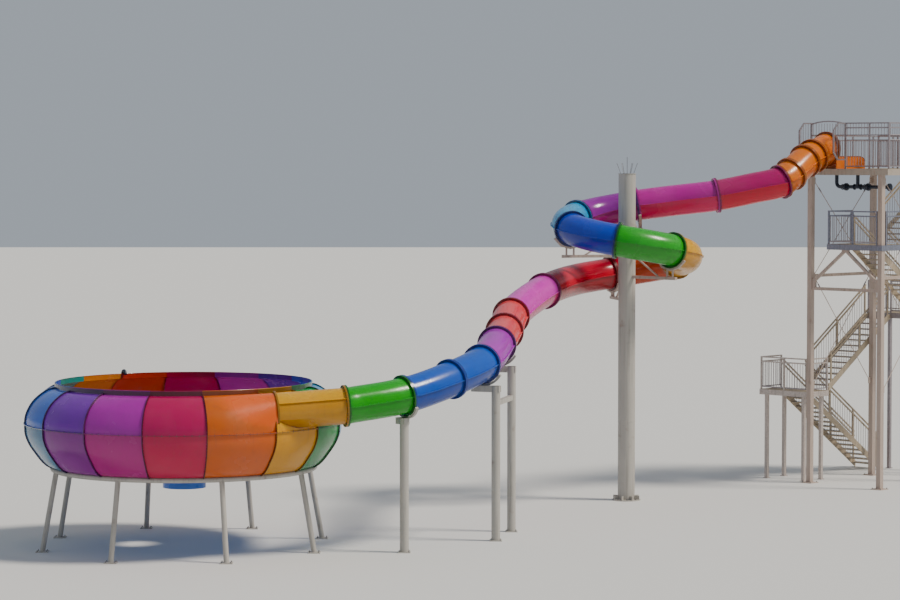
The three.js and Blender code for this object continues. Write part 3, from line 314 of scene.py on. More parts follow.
def turned_copy(name, sides, rings):
    """A closed copy about z, from (radius, height) rings, bottom to top."""
    points, faces = [], []
    for radius, height in rings:
        points += [(radius * math.cos(t), radius * math.sin(t), height) for t in turns_of(sides)]
    for r in range(len(rings) - 1):
        for i in range(sides):
            j = (i + 1) % sides
            faces.append((r * sides + i, r * sides + j, (r + 1) * sides + j, (r + 1) * sides + i))
    top = (len(rings) - 1) * sides
    faces += [tuple(reversed(range(sides))), tuple(range(top, top + sides))]
    return helper(name, points, [], faces)


bar_copy = turned_copy("bar", 6, [(1, 0), (1, 1)])
print("an upright bar has", len(bar_copy.data.polygons), "faces")


# %% Sweeps, rows and finished pieces
def sweep(name, runs, profile, finish):
    return run_tree(name, sweep_tree, runs, {"Profile": profile, "Finish": finish})


def row(name, runs, shape, pitch, finish):
    return run_tree(name, row_tree, runs, {"Copy": shape, "Pitch": pitch, "Finish": finish})


def join(name, parts):
    """One object from several, with all their finishes."""
    with bpy.context.temp_override(
        active_object=parts[0], selected_objects=parts, selected_editable_objects=parts
    ):
        bpy.ops.object.join()
    parts[0].name = name
    return parts[0]


def settle(piece, slot, *nodes):
    """A finished piece rides on the one body and may stand for CAD nodes, which it hides; its slot
    is not used.
    """
    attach(piece, "root")
    if nodes:
        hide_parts(*nodes)
    print(f"{piece.name}: {len(piece.data.polygons)} faces")


# %% [markdown]
# ## Gel coat
# The flume and the bowl are glass fibre laid up by hand in a mould. What the eye sees is the gel
# coat, a thin pigmented polyester skin, IOR about 1.52. It is glossy, waves a little because the
# mats behind it shrink, chalks in the sun in patches of a metre or so, and keeps grey water streaks
# that run down. Noise on Object coordinates gives all three, at sizes stated in metres. The shell
# also lets some light through, so the bowl glows inside: scattering under the skin, as deep as a
# few times the wall, does that. Two helpers serve all finishes. One turns a skin into another
# colour where a pattern is strong, and one lets grime run down it. The inputs 0 to 4 of a Map
# Range node are the value, its low and high ends and what they become, and the inputs 0, 6 and 7
# of a Mix node are the share and the two colours.

# %% Patches and grime
GRIME = "#4A403A"


def new_finish(name):
    """A node material; gives it, its tree, its shader and the place on the piece."""
    made = bpy.data.materials.new(name)
    made.use_nodes = True
    tree = made.node_tree
    place = add_node(tree, "ShaderNodeTexCoord").outputs["Object"]
    return made, tree, tree.nodes["Principled BSDF"], place


def patched(tree, skin, other, pattern, low, high, most):
    """The skin, turning into another colour as the pattern goes from low to high."""
    share = add_node(tree, "ShaderNodeMapRange", {0: pattern, 1: low, 2: high, 3: 0.0, 4: most})
    return add_node(
        tree, "ShaderNodeMix", {0: share.outputs[0], 6: skin, 7: other}, data_type="RGBA"
    ).outputs[2]


def grimed(tree, skin, place, width, run, low, high, most):
    """The skin under streaks where water runs: noise pulled out downwards, cut to its peaks."""
    pulled = add_node(
        tree, "ShaderNodeMapping", {"Vector": place, "Scale": (1 / width, 1 / width, 1 / run)}
    )
    streaks = add_node(
        tree, "ShaderNodeTexNoise", {"Vector": pulled.outputs[0], "Scale": 1.0, "Detail": 5.0}
    )
    return patched(tree, skin, linear(GRIME), streaks.outputs[0], low, high, most)


print("grime is", [round(c, 3) for c in linear(GRIME)[:3]])

# %% Make gel coat
CHALK, CHALK_SHARE, CHALK_PATCH = 0.8, 0.45, 1.2
MOULD_WAVE, STREAK_WIDTH, STREAK_RUN = 0.32, 0.11, 1.3
GLOW, GLOW_DEPTH = 0.6, 0.06


def gel_coat(name, colour, chalk=0.05, dirt=0.16):
    """Glossy pigmented polyester over glass fibre, hand laid, a few summers old."""
    made, tree, shader, place = new_finish("gel coat " + name)
    patches = add_node(
        tree, "ShaderNodeTexNoise", {"Vector": place, "Scale": 1 / CHALK_PATCH, "Detail": 4.0}
    ).outputs[0]
    pale = [(1 - CHALK_SHARE) * c + CHALK_SHARE * CHALK for c in linear(colour)[:3]] + [1.0]
    skin = patched(tree, linear(colour), pale, patches, 0.4, 0.75, chalk)
    skin = grimed(tree, skin, place, STREAK_WIDTH, STREAK_RUN, 0.54, 0.8, dirt)
    gloss = add_node(tree, "ShaderNodeMapRange", {0: patches, 1: 0.3, 2: 0.8, 3: 0.16, 4: 0.34})
    waves = add_node(
        tree, "ShaderNodeTexNoise", {"Vector": place, "Scale": 1 / MOULD_WAVE, "Detail": 2.0}
    )
    bump = add_node(
        tree, "ShaderNodeBump", {"Strength": 0.12, "Distance": 0.02, "Height": waves.outputs[0]}
    )
    settings = {
        "Base Color": skin,
        "Roughness": gloss.outputs[0],
        "Normal": bump.outputs[0],
        "IOR": 1.52,
        "Specular IOR Level": 0.32,
        "Subsurface Weight": GLOW,
        "Subsurface Radius": (1.0, 1.0, 1.0),
        "Subsurface Scale": GLOW_DEPTH,
        "Coat Weight": 0.10,
        "Coat Roughness": 0.06,
    }
    set_inputs(tree, shader, settings)
    return made


print("gel coat lets", GLOW, "of the light into its skin")

# %% Colours of the flume
# Each row is the upper shell, the lower shell and the flange. The flanges' darker colours are
# painted shade. The lower shells have their own colours; the crimson, magenta and violet ones are
# also drawn brighter, as painted glow of light let through the shell.
SHELL_COLOURS = {
    "orange": ("#DC6C00", "#C25A00", "#8A4200"),
    "crimson": ("#A2005E", "#C80030", "#6C0040"),
    "magenta": ("#B2008E", "#D2005A", "#94007A"),
    "violet": ("#861090", "#A00078", "#4A0660"),
    "light_blue": ("#1E96D6", "#147CAE", "#0A5078"),
    "blue": ("#083CBE", "#082CA0", "#061E60"),
    "green": ("#009A00", "#009200", "#045A06"),
    "yellow": ("#D89A00", "#C48600", "#8C6200"),
    "rust": ("#C24600", "#B23A00", "#6C2400"),
    "red": ("#C2002C", "#9C001A", "#60040E"),
    "pink": ("#D634B6", "#BC1E68", "#78104E"),
    "salmon": ("#EC444A", "#D0323C", "#7C0A1E"),
    "lilac": ("#A428B2", "#801C96", "#561062"),
    "sea_blue": ("#0850B8", "#083E9C", "#062C80"),
}
SHELL_PARTS = ("upper", "lower", "flange")
shells = {
    name: [gel_coat(f"{name} {part}", tone) for part, tone in zip(SHELL_PARTS, trio)]
    for name, trio in SHELL_COLOURS.items()
}
print(len(shells), "gel coat colours, each for upper shell, lower shell and flange")

# %% [markdown]
# ## Paint, zinc and boards
# The column, the legs and the tower are rolled steel under two coats of alkyd paint, brushed and
# sprayed on site: semi-gloss, IOR 1.5, with an orange peel of a few millimetres, drawn at 40 mm so
# that it shows, and rust that starts in specks. The guards are hot-dip galvanised tube, whose zinc
# dries in crystals of 10 to 30 mm. The decking is grooved board, grey from the weather.

# %% Make site paint
PEEL = 0.04
RUST_PATCH = 0.35
TONES_PER_METRE = 1.1
DRIP_WIDTH, DRIP_RUN = 0.08, 1.6
RUST = "#6E4426"


def site_paint(name, colour, rust=0.35, dirt=0.35, gloss=0.42):
    """Brushed alkyd paint on steel, with grime that runs down and specks of rust."""
    made, tree, shader, place = new_finish("site paint " + name)
    tone = add_node(
        tree, "ShaderNodeTexNoise", {"Vector": place, "Scale": TONES_PER_METRE, "Detail": 5.0}
    ).outputs[0]
    skin = patched(tree, linear(colour), linear(colour, 0.72), tone, 0.3, 0.75, 0.35)
    skin = grimed(tree, skin, place, DRIP_WIDTH, DRIP_RUN, 0.5, 0.78, dirt)
    specks = add_node(
        tree, "ShaderNodeTexNoise", {"Vector": place, "Scale": 1 / RUST_PATCH, "Detail": 9.0}
    )
    skin = patched(tree, skin, linear(RUST), specks.outputs[0], 0.62, 0.74, rust)
    rough = add_node(
        tree, "ShaderNodeMapRange", {0: tone, 1: 0.3, 2: 0.7, 3: gloss, 4: gloss + 0.2}
    )
    peel = add_node(tree, "ShaderNodeTexNoise", {"Vector": place, "Scale": 1 / PEEL, "Detail": 2.0})
    bump = add_node(
        tree, "ShaderNodeBump", {"Strength": 0.15, "Distance": 0.002, "Height": peel.outputs[0]}
    )
    settings = {"Base Color": skin, "Roughness": rough.outputs[0], "Normal": bump.outputs[0]}
    set_inputs(tree, shader, settings | {"IOR": 1.5})
    return made


print("orange peel drawn at", PEEL, "m")

# %% Make zinc
CRYSTAL = 0.03
RUNOFF_WIDTH, RUNOFF_RUN = 0.05, 0.8


def zinc(name, colour, metallic=0.55):
    """Hot-dip galvanised steel: dull zinc in crystals, each a little lighter or darker."""
    made, tree, shader, place = new_finish("zinc " + name)
    crystals = add_node(tree, "ShaderNodeTexVoronoi", {"Vector": place, "Scale": 1 / CRYSTAL})
    shade = add_node(tree, "ShaderNodeSeparateXYZ", {0: crystals.outputs["Color"]}).outputs[0]
    skin = patched(tree, linear(colour), linear(colour, 0.62), shade, 0.0, 1.0, 0.55)
    skin = grimed(tree, skin, place, RUNOFF_WIDTH, RUNOFF_RUN, 0.52, 0.8, 0.4)
    rough = add_node(tree, "ShaderNodeMapRange", {0: shade, 1: 0.0, 2: 1.0, 3: 0.38, 4: 0.55})
    settings = {"Base Color": skin, "Roughness": rough.outputs[0], "Metallic": metallic}
    set_inputs(tree, shader, settings)
    return made


print("zinc crystals of", CRYSTAL, "m")

# %% Make boards
FIBRE = (3, 60, 60)


def board(name, colour):
    """Grooved board, weathered, with fibres that run along it."""
    made, tree, shader, place = new_finish("board " + name)
    along = add_node(
        tree,
        "ShaderNodeMapping",
        {"Vector": place, "Rotation": (0, 0, math.radians(45)), "Scale": FIBRE},
    )
    grain = add_node(
        tree, "ShaderNodeTexNoise", {"Vector": along.outputs[0], "Scale": 1.0, "Detail": 5.0}
    ).outputs[0]
    skin = patched(tree, linear(colour), linear(colour, 0.6), grain, 0.35, 0.7, 0.8)
    rough = add_node(tree, "ShaderNodeMapRange", {0: grain, 1: 0.3, 2: 0.7, 3: 0.65, 4: 0.9})
    bump = add_node(tree, "ShaderNodeBump", {"Strength": 0.4, "Distance": 0.002, "Height": grain})
    settings = {"Base Color": skin, "Roughness": rough.outputs[0], "Normal": bump.outputs[0]}
    set_inputs(tree, shader, settings)
    return made


print("fibres", round(FIBRE[1] / FIBRE[0]), "times as long as they are thick")

# %% Finishes of the steel and the boards
column_paint = site_paint("light grey", "#B4B0A8")
tower_paint = site_paint("warm grey", "#B8A69A")
deck_paint = site_paint("deck steel", "#B0A496")
tread_paint = site_paint("tread sand", "#B8A890", rust=0.2)
navy_paint = site_paint("navy", "#1C2A3E", rust=0.05, dirt=0.12, gloss=0.3)
rail_zinc = zinc("guard tube", "#A8A0A4")
# The low landing's paler, warmer zinc is painted sunlight, and the middle landing's grey-violet
# zinc is painted shade; the grip strips use the grey-violet too.
grip_and_shaded_zinc = zinc("shaded landing tube and grip strip", "#8C90A0")
sunlit_zinc = zinc("sunlit tube", "#CCC0B8", metallic=0.25)
bolt_zinc = zinc("bolt", "#8A8A8C", metallic=0.8)
dark_bolt = zinc("dark bolt", "#3A3840", metallic=0.6)
decking = board("weathered grey", "#B4A48C")
print(len(bpy.data.materials), "materials")

# %% [markdown]
# ## The flume's centre line
# The flume was drawn as a smooth curve through its joints, and scene.py repeats those points, in
# metres. A centripetal Catmull-Rom spline goes through every point and doesn't overshoot, which is
# how pipe runs are usually drawn. At each place the frame has the way ahead, the level right-hand
# side and the rise, so the seams of the shells stay level.

# %% Points of the centre line
HELIX_RADIUS, HELIX_PITCH, HELIX_TOP = 1.880, 2.040, 9.215
HELIX_JOINTS = [76.5, 143.5, 199, 258, 315, 389.5, 447, 463]
HELIX_STEPS = [4, 4, 4, 4, 4, 4, 1]
START_AHEAD = Vector((-1, -1, 0)).normalized()
ENTRY_AHEAD = Vector((-0.97, -0.243, -0.056)).normalized()
UPPER = [
    (6.808, 4.412, 11.100),
    (6.297, 3.720, 10.870),
    (6.004, 3.367, 10.710),
    (5.478, 2.750, 10.290),
    (5.110, 2.430, 10.040),
    (4.110, 2.150, 9.820),
    (2.980, 1.950, 9.600),
    (1.620, 1.960, 9.440),
]
LOWER = [
    (-1.570, 0.800, 6.945),
    (-2.660, -1.500, 6.684),
    (-3.740, -4.700, 6.080),
    (-3.970, -6.300, 5.710),
    (-4.220, -7.900, 5.420),
    (-4.680, -9.900, 5.010),
    (-5.548, -11.350, 4.684),
    (-6.830, -12.550, 4.321),
    (-8.414, -13.420, 4.105),
]


def helix_point(angle):
    turn = math.radians(angle)
    level = HELIX_TOP - HELIX_PITCH * (angle - 90) / 360
    return Vector((HELIX_RADIUS * math.cos(turn), HELIX_RADIUS * math.sin(turn), level))


helix = []
for count, start, end in zip(HELIX_STEPS, HELIX_JOINTS, HELIX_JOINTS[1:]):
    helix += [helix_point(start + (end - start) * i / count) for i in range(count)]
helix.append(helix_point(HELIX_JOINTS[-1]))
controls = [Vector(p) for p in UPPER] + helix + [Vector(p) for p in LOWER]
LAST = len(controls) - 1
AHEAD_STEP = 0.003
print(len(controls), "control points")


# %% The curve through the points
def spline_point(points, where):
    """The point at a place counted in control points, on a centripetal Catmull-Rom spline."""
    last = len(points) - 1
    index = min(int(where), last - 1)
    share = where - index
    p1, p2 = points[index], points[index + 1]
    p0 = points[index - 1] if index else 2 * p1 - p2
    p3 = points[index + 2] if index + 2 <= last else 2 * p2 - p1
    d0, d1, d2 = ((b - a).length ** 0.5 for a, b in ((p0, p1), (p1, p2), (p2, p3)))
    start = ((p1 - p0) / d0 - (p2 - p0) / (d0 + d1) + (p2 - p1) / d1) * d1
    end = ((p2 - p1) / d1 - (p3 - p1) / (d1 + d2) + (p3 - p2) / d2) * d1
    square, cube = share**2, share**3
    bend = (-3 * p1 + 3 * p2 - 2 * start - end) * square + (2 * p1 - 2 * p2 + start + end) * cube
    return p1 + start * share + bend


def frame_of(point, ahead):
    """A place on the line with its three directions."""
    right = ahead.cross(UP).normalized()
    return {"point": point, "ahead": ahead, "right": right, "rise": right.cross(ahead).normalized()}


def frame_at(where):
    if where <= 0:
        return frame_of(controls[0], START_AHEAD)
    if where >= LAST:
        return frame_of(controls[-1], ENTRY_AHEAD)
    before, after = (spline_point(controls, where + step) for step in (-AHEAD_STEP, AHEAD_STEP))
    ahead = after - before
    return frame_of(spline_point(controls, where), ahead.normalized())


def helix_where(joint):
    return len(UPPER) + sum(HELIX_STEPS[:joint])


def lower_where(joint):
    return len(UPPER) + len(helix) + 1 + joint


print("first section starts at", [round(c, 3) for c in frame_at(0)["point"]])

# %% [markdown]
# ## The flume's sections
# Each section of the tube is two half shells with level lips along both sides, bolted together,
# and a ring flange at each end. One outline, a half circle with a lip at each end, is swept for the
# upper shell and its mirror for the lower one, so a real 3 mm joint shows as a dark line. The ring
# flanges sweep a small rectangle round a circle. They are drawn darker than the shell, as painted
# shade.

# %% Outlines of the half shells
TUBE, SHELL, LIP, LIP_THICK, SEAM = 0.496, 0.010, 0.045, 0.011, 0.0015
FLANGE_OUT, FLANGE_IN, FLANGE_THICK = 0.572, 0.487, 0.048
FLANGE_MIDDLE, FLANGE_SHIFT = (FLANGE_OUT + FLANGE_IN) / 2, SEAM + FLANGE_THICK / 2
HALF_TURN = 22


def half_shell(way):
    """The outline of one half shell; way is 1 for the upper and -1 for the lower."""
    lift = math.asin((SEAM + LIP_THICK) / TUBE)
    outer = [lift + (math.pi - 2 * lift) * i / HALF_TURN for i in range(HALF_TURN + 1)]
    inner = [math.pi * i / HALF_TURN for i in range(HALF_TURN, -1, -1)]
    bore = TUBE - SHELL
    corners = [(SEAM, TUBE + LIP), (SEAM + LIP_THICK, TUBE + LIP)]
    corners += [(TUBE * math.sin(a), TUBE * math.cos(a)) for a in outer]
    corners += [(SEAM + LIP_THICK, -TUBE - LIP), (SEAM, -TUBE - LIP)]
    corners += [(max(SEAM, bore * math.sin(a)), bore * math.cos(a)) for a in inner]
    return outline_of(f"half shell {way}", [(way * x, y) for x, y in corners])


upper_outline, lower_outline = half_shell(1), half_shell(-1)
flange_outline = rectangle_of(FLANGE_THICK, FLANGE_OUT - FLANGE_IN)
print(len(upper_outline.data.vertices), "corners in a half shell")


# %% Paths of a section and of a ring
def section_run(start, end, count):
    """The path of a section. Its first and last stretch are straight, so its ends are square."""
    frames = [frame_at(start + (end - start) * i / count) for i in range(count + 1)]
    first, last = frames[0], frames[-1]
    points = [first["point"] + first["ahead"] * shift for shift in (SEAM, FLANGE_THICK)]
    points += [f["point"] for f in frames[1:-1]]
    points += [last["point"] - last["ahead"] * shift for shift in (FLANGE_THICK, SEAM)]
    rises = [first["rise"]] * 2 + [f["rise"] for f in frames[1:-1]] + [last["rise"]] * 2
    return {"points": points, "rise": rises}


def spoke(place, turn):
    """The way out of a tube's centre line at an angle, from its right-hand side upwards."""
    return place["right"] * math.cos(turn) + place["rise"] * math.sin(turn)


def ring_run(place, radius, shift):
    """A circle round the tube. What it carries as rise, and as a bolt's axis, is the way ahead."""
    centre = place["point"] + place["ahead"] * shift
    points = [centre + spoke(place, turn) * radius for turn in turns_of(48)]
    return {"points": points, "rise": place["ahead"], "closed": True}


def ring_pair(places):
    """The two end flanges of a section, each just inside its joint."""
    shifts = (FLANGE_SHIFT, -FLANGE_SHIFT)
    return [ring_run(place, FLANGE_MIDDLE, shift) for place, shift in zip(places, shifts)]


print("end flanges at", round(FLANGE_SHIFT, 4), "m from their joints")

# %% List every section
# Each row is a node, its gel coat, its slot, its first and last place on the line, and its steps.
SECTIONS = [(f"flume_orange_{i + 1}", "orange", "orange", i, i + 1, 8) for i in range(4)]
SECTIONS += [
    ("flume_crimson", "crimson", "crimson", 4, 6, 14),
    ("flume_magenta", "magenta", "magenta", 6, 8, 14),
]
HELIX_COLOURS = ["violet", "light_blue", "blue", "green", "yellow", "rust", "red"]
for i, colour in enumerate(HELIX_COLOURS):
    word = "purple" if colour == "violet" else colour
    count = 4 if word == "red" else 16
    ends = helix_where(i), helix_where(i + 1)
    SECTIONS.append((f"flume_helix_{word}", colour, word, *ends, count))
SECTIONS.append(("flume_red", "red", "red", helix_where(7), lower_where(0), 20))
LOWER_NAMES = [
    ("pink", "pink", "pink"),
    ("salmon_1", "salmon", "salmon"),
    ("salmon_2", "salmon", "salmon"),
    ("violet", "lilac", "purple"),
    ("blue_1", "sea_blue", "blue"),
    ("blue_2", "sea_blue", "blue"),
    ("green", "green", "green"),
]
for i, (name, colour, slot) in enumerate(LOWER_NAMES):
    SECTIONS.append((f"flume_lower_{name}", colour, slot, lower_where(i), lower_where(i + 1), 12))

print(len(SECTIONS), "sections")

# %% Build every section
for node, colour, slot, start, end, count in SECTIONS:
    upper_coat, lower_coat, shaded_flange_coat = shells[colour]
    run = section_run(start, end, count)
    rings = ring_pair([frame_at(start), frame_at(end)])
    parts = [
        sweep("upper", [run], upper_outline, upper_coat),
        sweep("lower", [run], lower_outline, lower_coat),
        sweep("rings", rings, flange_outline, shaded_flange_coat),
    ]
    settle(join(node.replace("flume", "tube"), parts), slot, node)

# %% [markdown]
# ## Bolts of the flume
# A joint of two flanges takes a bolt about every 17 cm, and the lips one every quarter metre. The
# row tree sets a six-sided head and nut on one shank, a mesh of 32 faces, along circles and lips.
# The shank goes through the joint, so one copy shows on both sides.

# %% Shapes of the bolts
through_bolt = turned_copy(
    "through bolt", 6, [(1, -3.6), (1, -2.8), (0.55, -2.8), (0.55, 2.8), (1, 2.8), (1, 3.6)]
)
lip_bolt = turned_copy("lip bolt", 6, [(1, -1.7), (1, -1), (0.5, -1), (0.5, 1), (1, 1), (1, 1.7)])
print("a bolt has", len(through_bolt.data.polygons), "faces")

# %% Set the flume's bolts
RING_BOLT, RING_SHANK, RING_PITCH, BOLT_CIRCLE = 0.013, 0.018, 0.17, 0.535
joint_places = [frame_at(start) for _, _, _, start, _, _ in SECTIONS] + [frame_at(LAST)]
runs = []
for place in joint_places:
    run = ring_run(place, BOLT_CIRCLE, 0.0)
    run.update(axis=place["ahead"], ahead=place["rise"], stretch=(RING_BOLT, RING_BOLT, RING_SHANK))
    runs.append(run)
flange_bolts = row("flume_flange_bolts", runs, through_bolt, RING_PITCH, dark_bolt)
settle(flange_bolts, "orange")

LIP_BOLT, LIP_PITCH, LIP_MIDDLE, LIP_END = 0.011, 0.25, 0.022, 0.1
runs = []
for _, _, _, start, end, count in SECTIONS:
    frames = [frame_at(start + (end - start) * i / count) for i in range(count + 1)]
    for way in (1, -1):
        edge = way * (TUBE + LIP_MIDDLE)
        points = [f["point"] + f["right"] * edge for f in frames]
        points[0] = points[0] + frames[0]["ahead"] * LIP_END
        points[-1] = points[-1] - frames[-1]["ahead"] * LIP_END
        axes, aheads = [f["rise"] for f in frames], [f["right"] for f in frames]
        runs.append(stand(points, axes, aheads, (LIP_BOLT, LIP_BOLT, LIP_BOLT)))
lip_bolts = row("flume_lip_bolts", runs, lip_bolt, LIP_PITCH, dark_bolt)
settle(lip_bolts, "orange")

# %% [markdown]
# ## The bowl's shape
# The bowl is sixteen pairs of panels round one axis. Their section goes up from the foot over the
# widest place to a domed crown, and ends in an upright lip round the opening. It is given a wall of
# 12 mm. Where the upper and lower panels meet, both turn out into a lip, with a joint of 3 mm
# between them. Sweeping a section round the axis makes a panel.

# %% The bowl's section
BOWL_X, BOWL_Y = -13.0, -11.0
SEAMS = [13.0, 39.0, 60.0] + [80.5 + 22.5 * i for i in range(14)]
LIP_LINE = [(3.570, 4.590), (3.572, 4.530)]
CROWN = [(3.575, 4.455), (3.740, 4.420), (3.960, 4.290), (4.170, 4.100), (4.310, 3.880)]
CROWN += [(4.385, 3.670), (4.400, 3.485)]
SKIRT = [(4.400, 3.455), (4.385, 3.220), (4.300, 2.980), (4.150, 2.740), (3.820, 2.350)]
SKIRT += [(3.410, 2.185)]
BOWL_WALL = 0.012
JOINT_LEVEL, HALF_JOINT, JOINT_LIP, LIP_OUT, LIP_IN = 3.470, 0.0015, 0.013, 4.443, 4.388
PATH_RADIUS, PATH_LEVEL = 4.0, 3.5
PER_SPAN = 4


def bowl_point(angle, radius, level):
    turn = math.radians(angle)
    return Vector((BOWL_X + radius * math.sin(turn), BOWL_Y - radius * math.cos(turn), level))


def flat_points(corners):
    return [Vector((r, z, 0)) for r, z in corners]


def smooth(points):
    """More points, on a spline through these."""
    spans = (len(points) - 1) * PER_SPAN
    return [spline_point(points, i / PER_SPAN) for i in range(spans)] + [points[-1]]


def inside_of(section, depth):
    """The section moved inwards, or outwards by a depth below 0."""
    moved = []
    for i, point in enumerate(section):
        before, after = section[max(i - 1, 0)], section[min(i + 1, len(section) - 1)]
        way = (after - before).normalized()
        moved.append(point + Vector((way.y, -way.x, 0)) * depth)
    return moved


def section_outline(name, corners):
    return outline_of(name, [(z - PATH_LEVEL, r - PATH_RADIUS) for r, z in corners])


upper_section = flat_points(LIP_LINE) + smooth(flat_points(CROWN))
lower_section = smooth(flat_points(SKIRT))
inner_upper, inner_lower = (inside_of(s, BOWL_WALL) for s in (upper_section, lower_section))
above, below = JOINT_LEVEL + HALF_JOINT, JOINT_LEVEL - HALF_JOINT
upper_line = [(p.x, p.y) for p in upper_section]
upper_line += [(LIP_OUT, above + JOINT_LIP), (LIP_OUT, above), (LIP_IN, above)]
upper_line += [(p.x, p.y) for p in reversed(inner_upper)]
lower_line = [(LIP_IN, below), (LIP_OUT, below), (LIP_OUT, below - JOINT_LIP)]
lower_line += [(p.x, p.y) for p in lower_section] + [(p.x, p.y) for p in reversed(inner_lower)]
upper_panel = section_outline("upper panel", upper_line)
lower_panel = section_outline("lower panel", lower_line)
print(len(upper_line), "and", len(lower_line), "corners in the two panels' sections")

# %% [markdown]
# ## Colours of the panels
# Each sector has its own colour, one after another round the rainbow, and its lower panel is a
# little redder or greener than the upper one. At each side a panel turns out into a rib, bolted to
# its neighbour's, from the lip over the crown to the foot. A rib is a flat bar of 12 by 50 mm swept
# along the section, moulded in its panel's colour and drawn darker as painted shade. A band in the
# same painted shade stiffens the lip, under a rolled edge.

# %% Colours of the sixteen sectors
# Each row is a name, the upper panel's colour, the lower panel's colour and the slot.
SECTOR_COLOURS = [
    ("orange", "#D65C08", "#C45400", "orange"),
    ("yellow", "#D89600", "#C88800", "yellow"),
    ("green", "#0A8C3C", "#0A7E34", "green"),
    ("sky", "#1E90C8", "#167CB4", "light_blue"),
    ("blue", "#1E54C4", "#1A46AC", "blue"),
    ("purple", "#6A1E98", "#5E1886", "purple"),
    ("magenta", "#B0108C", "#A20C7C", "magenta"),
    ("crimson", "#B00034", "#A4002C", "crimson"),
    ("red", "#C22406", "#B00000", "red"),
    ("orange_far", "#D47004", "#C86400", "orange"),
    ("teal", "#108878", "#0E7468", "green"),
    ("teal_blue", "#2062C0", "#1C58AC", "light_blue"),
    ("sea_blue", "#1C5ABC", "#0A6088", "blue"),
    ("violet", "#6E1C9E", "#7C1A80", "purple"),
    ("rose", "#A00E98", "#A60C74", "magenta"),
    ("ruby", "#A8044E", "#B40440", "crimson"),
]
print(len(SECTOR_COLOURS), "sectors")

# %% Paths of ribs, bands and edges
RIB_THICK, RIB_TALL, RIB_SIDE, RIB_SINK = 0.012, 0.05, 0.008, 0.006
BAND_TALL, BAND_THICK, BAND_RADIUS, BAND_LEVEL = 0.115, 0.010, 3.578, 4.526
SQUARE_END, PANEL_STEPS = 0.03, 10
EDGE_RADIUS, EDGE_LEVEL, EDGE = 3.566, 4.590, 0.012
RIB_PAINTED_SHADE, EDGE_SHADE = 0.5, 0.8
rib_outline = rectangle_of(RIB_THICK, RIB_TALL)
band_outline = rectangle_of(BAND_TALL, BAND_THICK)
edge_outline = circle_of(EDGE, 10)
rib_line = inside_of((upper_section[2:] + lower_section)[:-2], RIB_SINK - RIB_TALL / 2)


def arc_run(start, end, radius, level, count):
    """An arc about the bowl's axis with square ends, for a profile that stands up."""
    angles = [start + (end - start) * i / count for i in range(count + 1)]
    angles[1:1] = [start + SQUARE_END]
    angles[-1:-1] = [end - SQUARE_END]
    return {"points": [bowl_point(a, radius, level) for a in angles], "rise": UP}


def rib_run(angle, shift):
    """The ribs' line over the section at one seam, moved to one side of it."""
    around = level_way(math.radians(angle))
    points = [bowl_point(angle, p.x, p.y) + around * shift for p in rib_line]
    return {"points": points, "rise": around}


def shade_of(colour, share):
    return "#" + "".join(f"{int(int(colour[k:k + 2], 16) * share):02X}" for k in (1, 3, 5))


print(len(rib_line), "points up a rib")

# %% Make the sixteen sectors
sectors = []
joint = math.degrees(HALF_JOINT / PATH_RADIUS)
for (name, upper, lower, _), seam, next_seam in zip(SECTOR_COLOURS, SEAMS, SEAMS[1:]):
    first, last = seam + joint, next_seam - joint
    arc, band, edge = (
        arc_run(first, last, radius, level, PANEL_STEPS)
        for radius, level in (
            (PATH_RADIUS, PATH_LEVEL), (BAND_RADIUS, BAND_LEVEL), (EDGE_RADIUS, EDGE_LEVEL)
        )
    )
    ribs = [rib_run(seam, RIB_SIDE), rib_run(next_seam, -RIB_SIDE)]
    # The ribs and the lip band share this copy of the panel colour at half brightness, as painted
    # shade.
    painted_shade_coat = gel_coat("bowl rib painted shade " + name, shade_of(upper, RIB_PAINTED_SHADE))
    sectors.append(
        [
            sweep("upper panel", [arc], upper_panel, gel_coat("bowl upper " + name, upper)),
            sweep("lower panel", [arc], lower_panel, gel_coat("bowl lower " + name, lower)),
            sweep("ribs", ribs, rib_outline, painted_shade_coat),
            sweep("band", [band], band_outline, painted_shade_coat),
        ]
    )
    rolled = gel_coat("bowl edge " + name, shade_of(upper, EDGE_SHADE))
    sectors[-1].append(sweep("edge", [edge], edge_outline, rolled))
print(len(sectors), "sectors of five sweeps each")

# %% [markdown]
# ## The tube's way into the bowl
# The last tube meets the bowl at its side, almost along the wall, so that what comes down it goes
# on round the bowl. It is yellow to a flange on the crown, and turned about its own axis, so that
# its near seam runs high. From there a fairing in the panel's own orange brings the round pipe
# into the bowl's shape: the tightest skin round the pipe's mouth and the panel, which a convex
# hull gives. A boolean takes the bowl's room out of the tube, and the tube's way out of the
# panels. The manifold solver needs closed meshes, which capped sweeps are, so each panel and pair
# of ribs is cut by itself, and then joined.

# %% Tools for the way in
ENTRY_FLANGE, ENTRY_REACH, ENTRY_ROLL = 1.93, 2.9, math.radians(27)
PASSAGE_GAP = 0.004
PASSAGE_ENDS, BORE_ENDS = (-0.3, ENTRY_REACH + 0.1), (-0.4, ENTRY_REACH + 0.2)
ROOM_TURN, ROOM_STEPS, ROOM_AXIS, ROOM_LOW, ROOM_TOP = 150, 60, 0.02, 2.1, 5.4
entry = frame_at(LAST)
entry_rise = entry["rise"] * math.cos(ENTRY_ROLL) + entry["right"] * math.sin(ENTRY_ROLL)


def entry_line(start, end):
    ends = [entry["point"] + entry["ahead"] * distance for distance in (start, end)]
    return line(*ends, entry_rise)


def cut(target, cutter):
    """The target minus the cutter, kept as a plain mesh."""
    modifier = target.modifiers.new("Cut", "BOOLEAN")
    modifier.operation, modifier.solver, modifier.object = "DIFFERENCE", "MANIFOLD", cutter
    evaluated = target.evaluated_get(bpy.context.evaluated_depsgraph_get())
    mesh = bpy.data.meshes.new_from_object(evaluated)
    target.modifiers.remove(modifier)
    target.data = mesh


def from_axis(point):
    """How far a point is from the bowl's axis."""
    return math.hypot(point.x - BOWL_X, point.y - BOWL_Y)


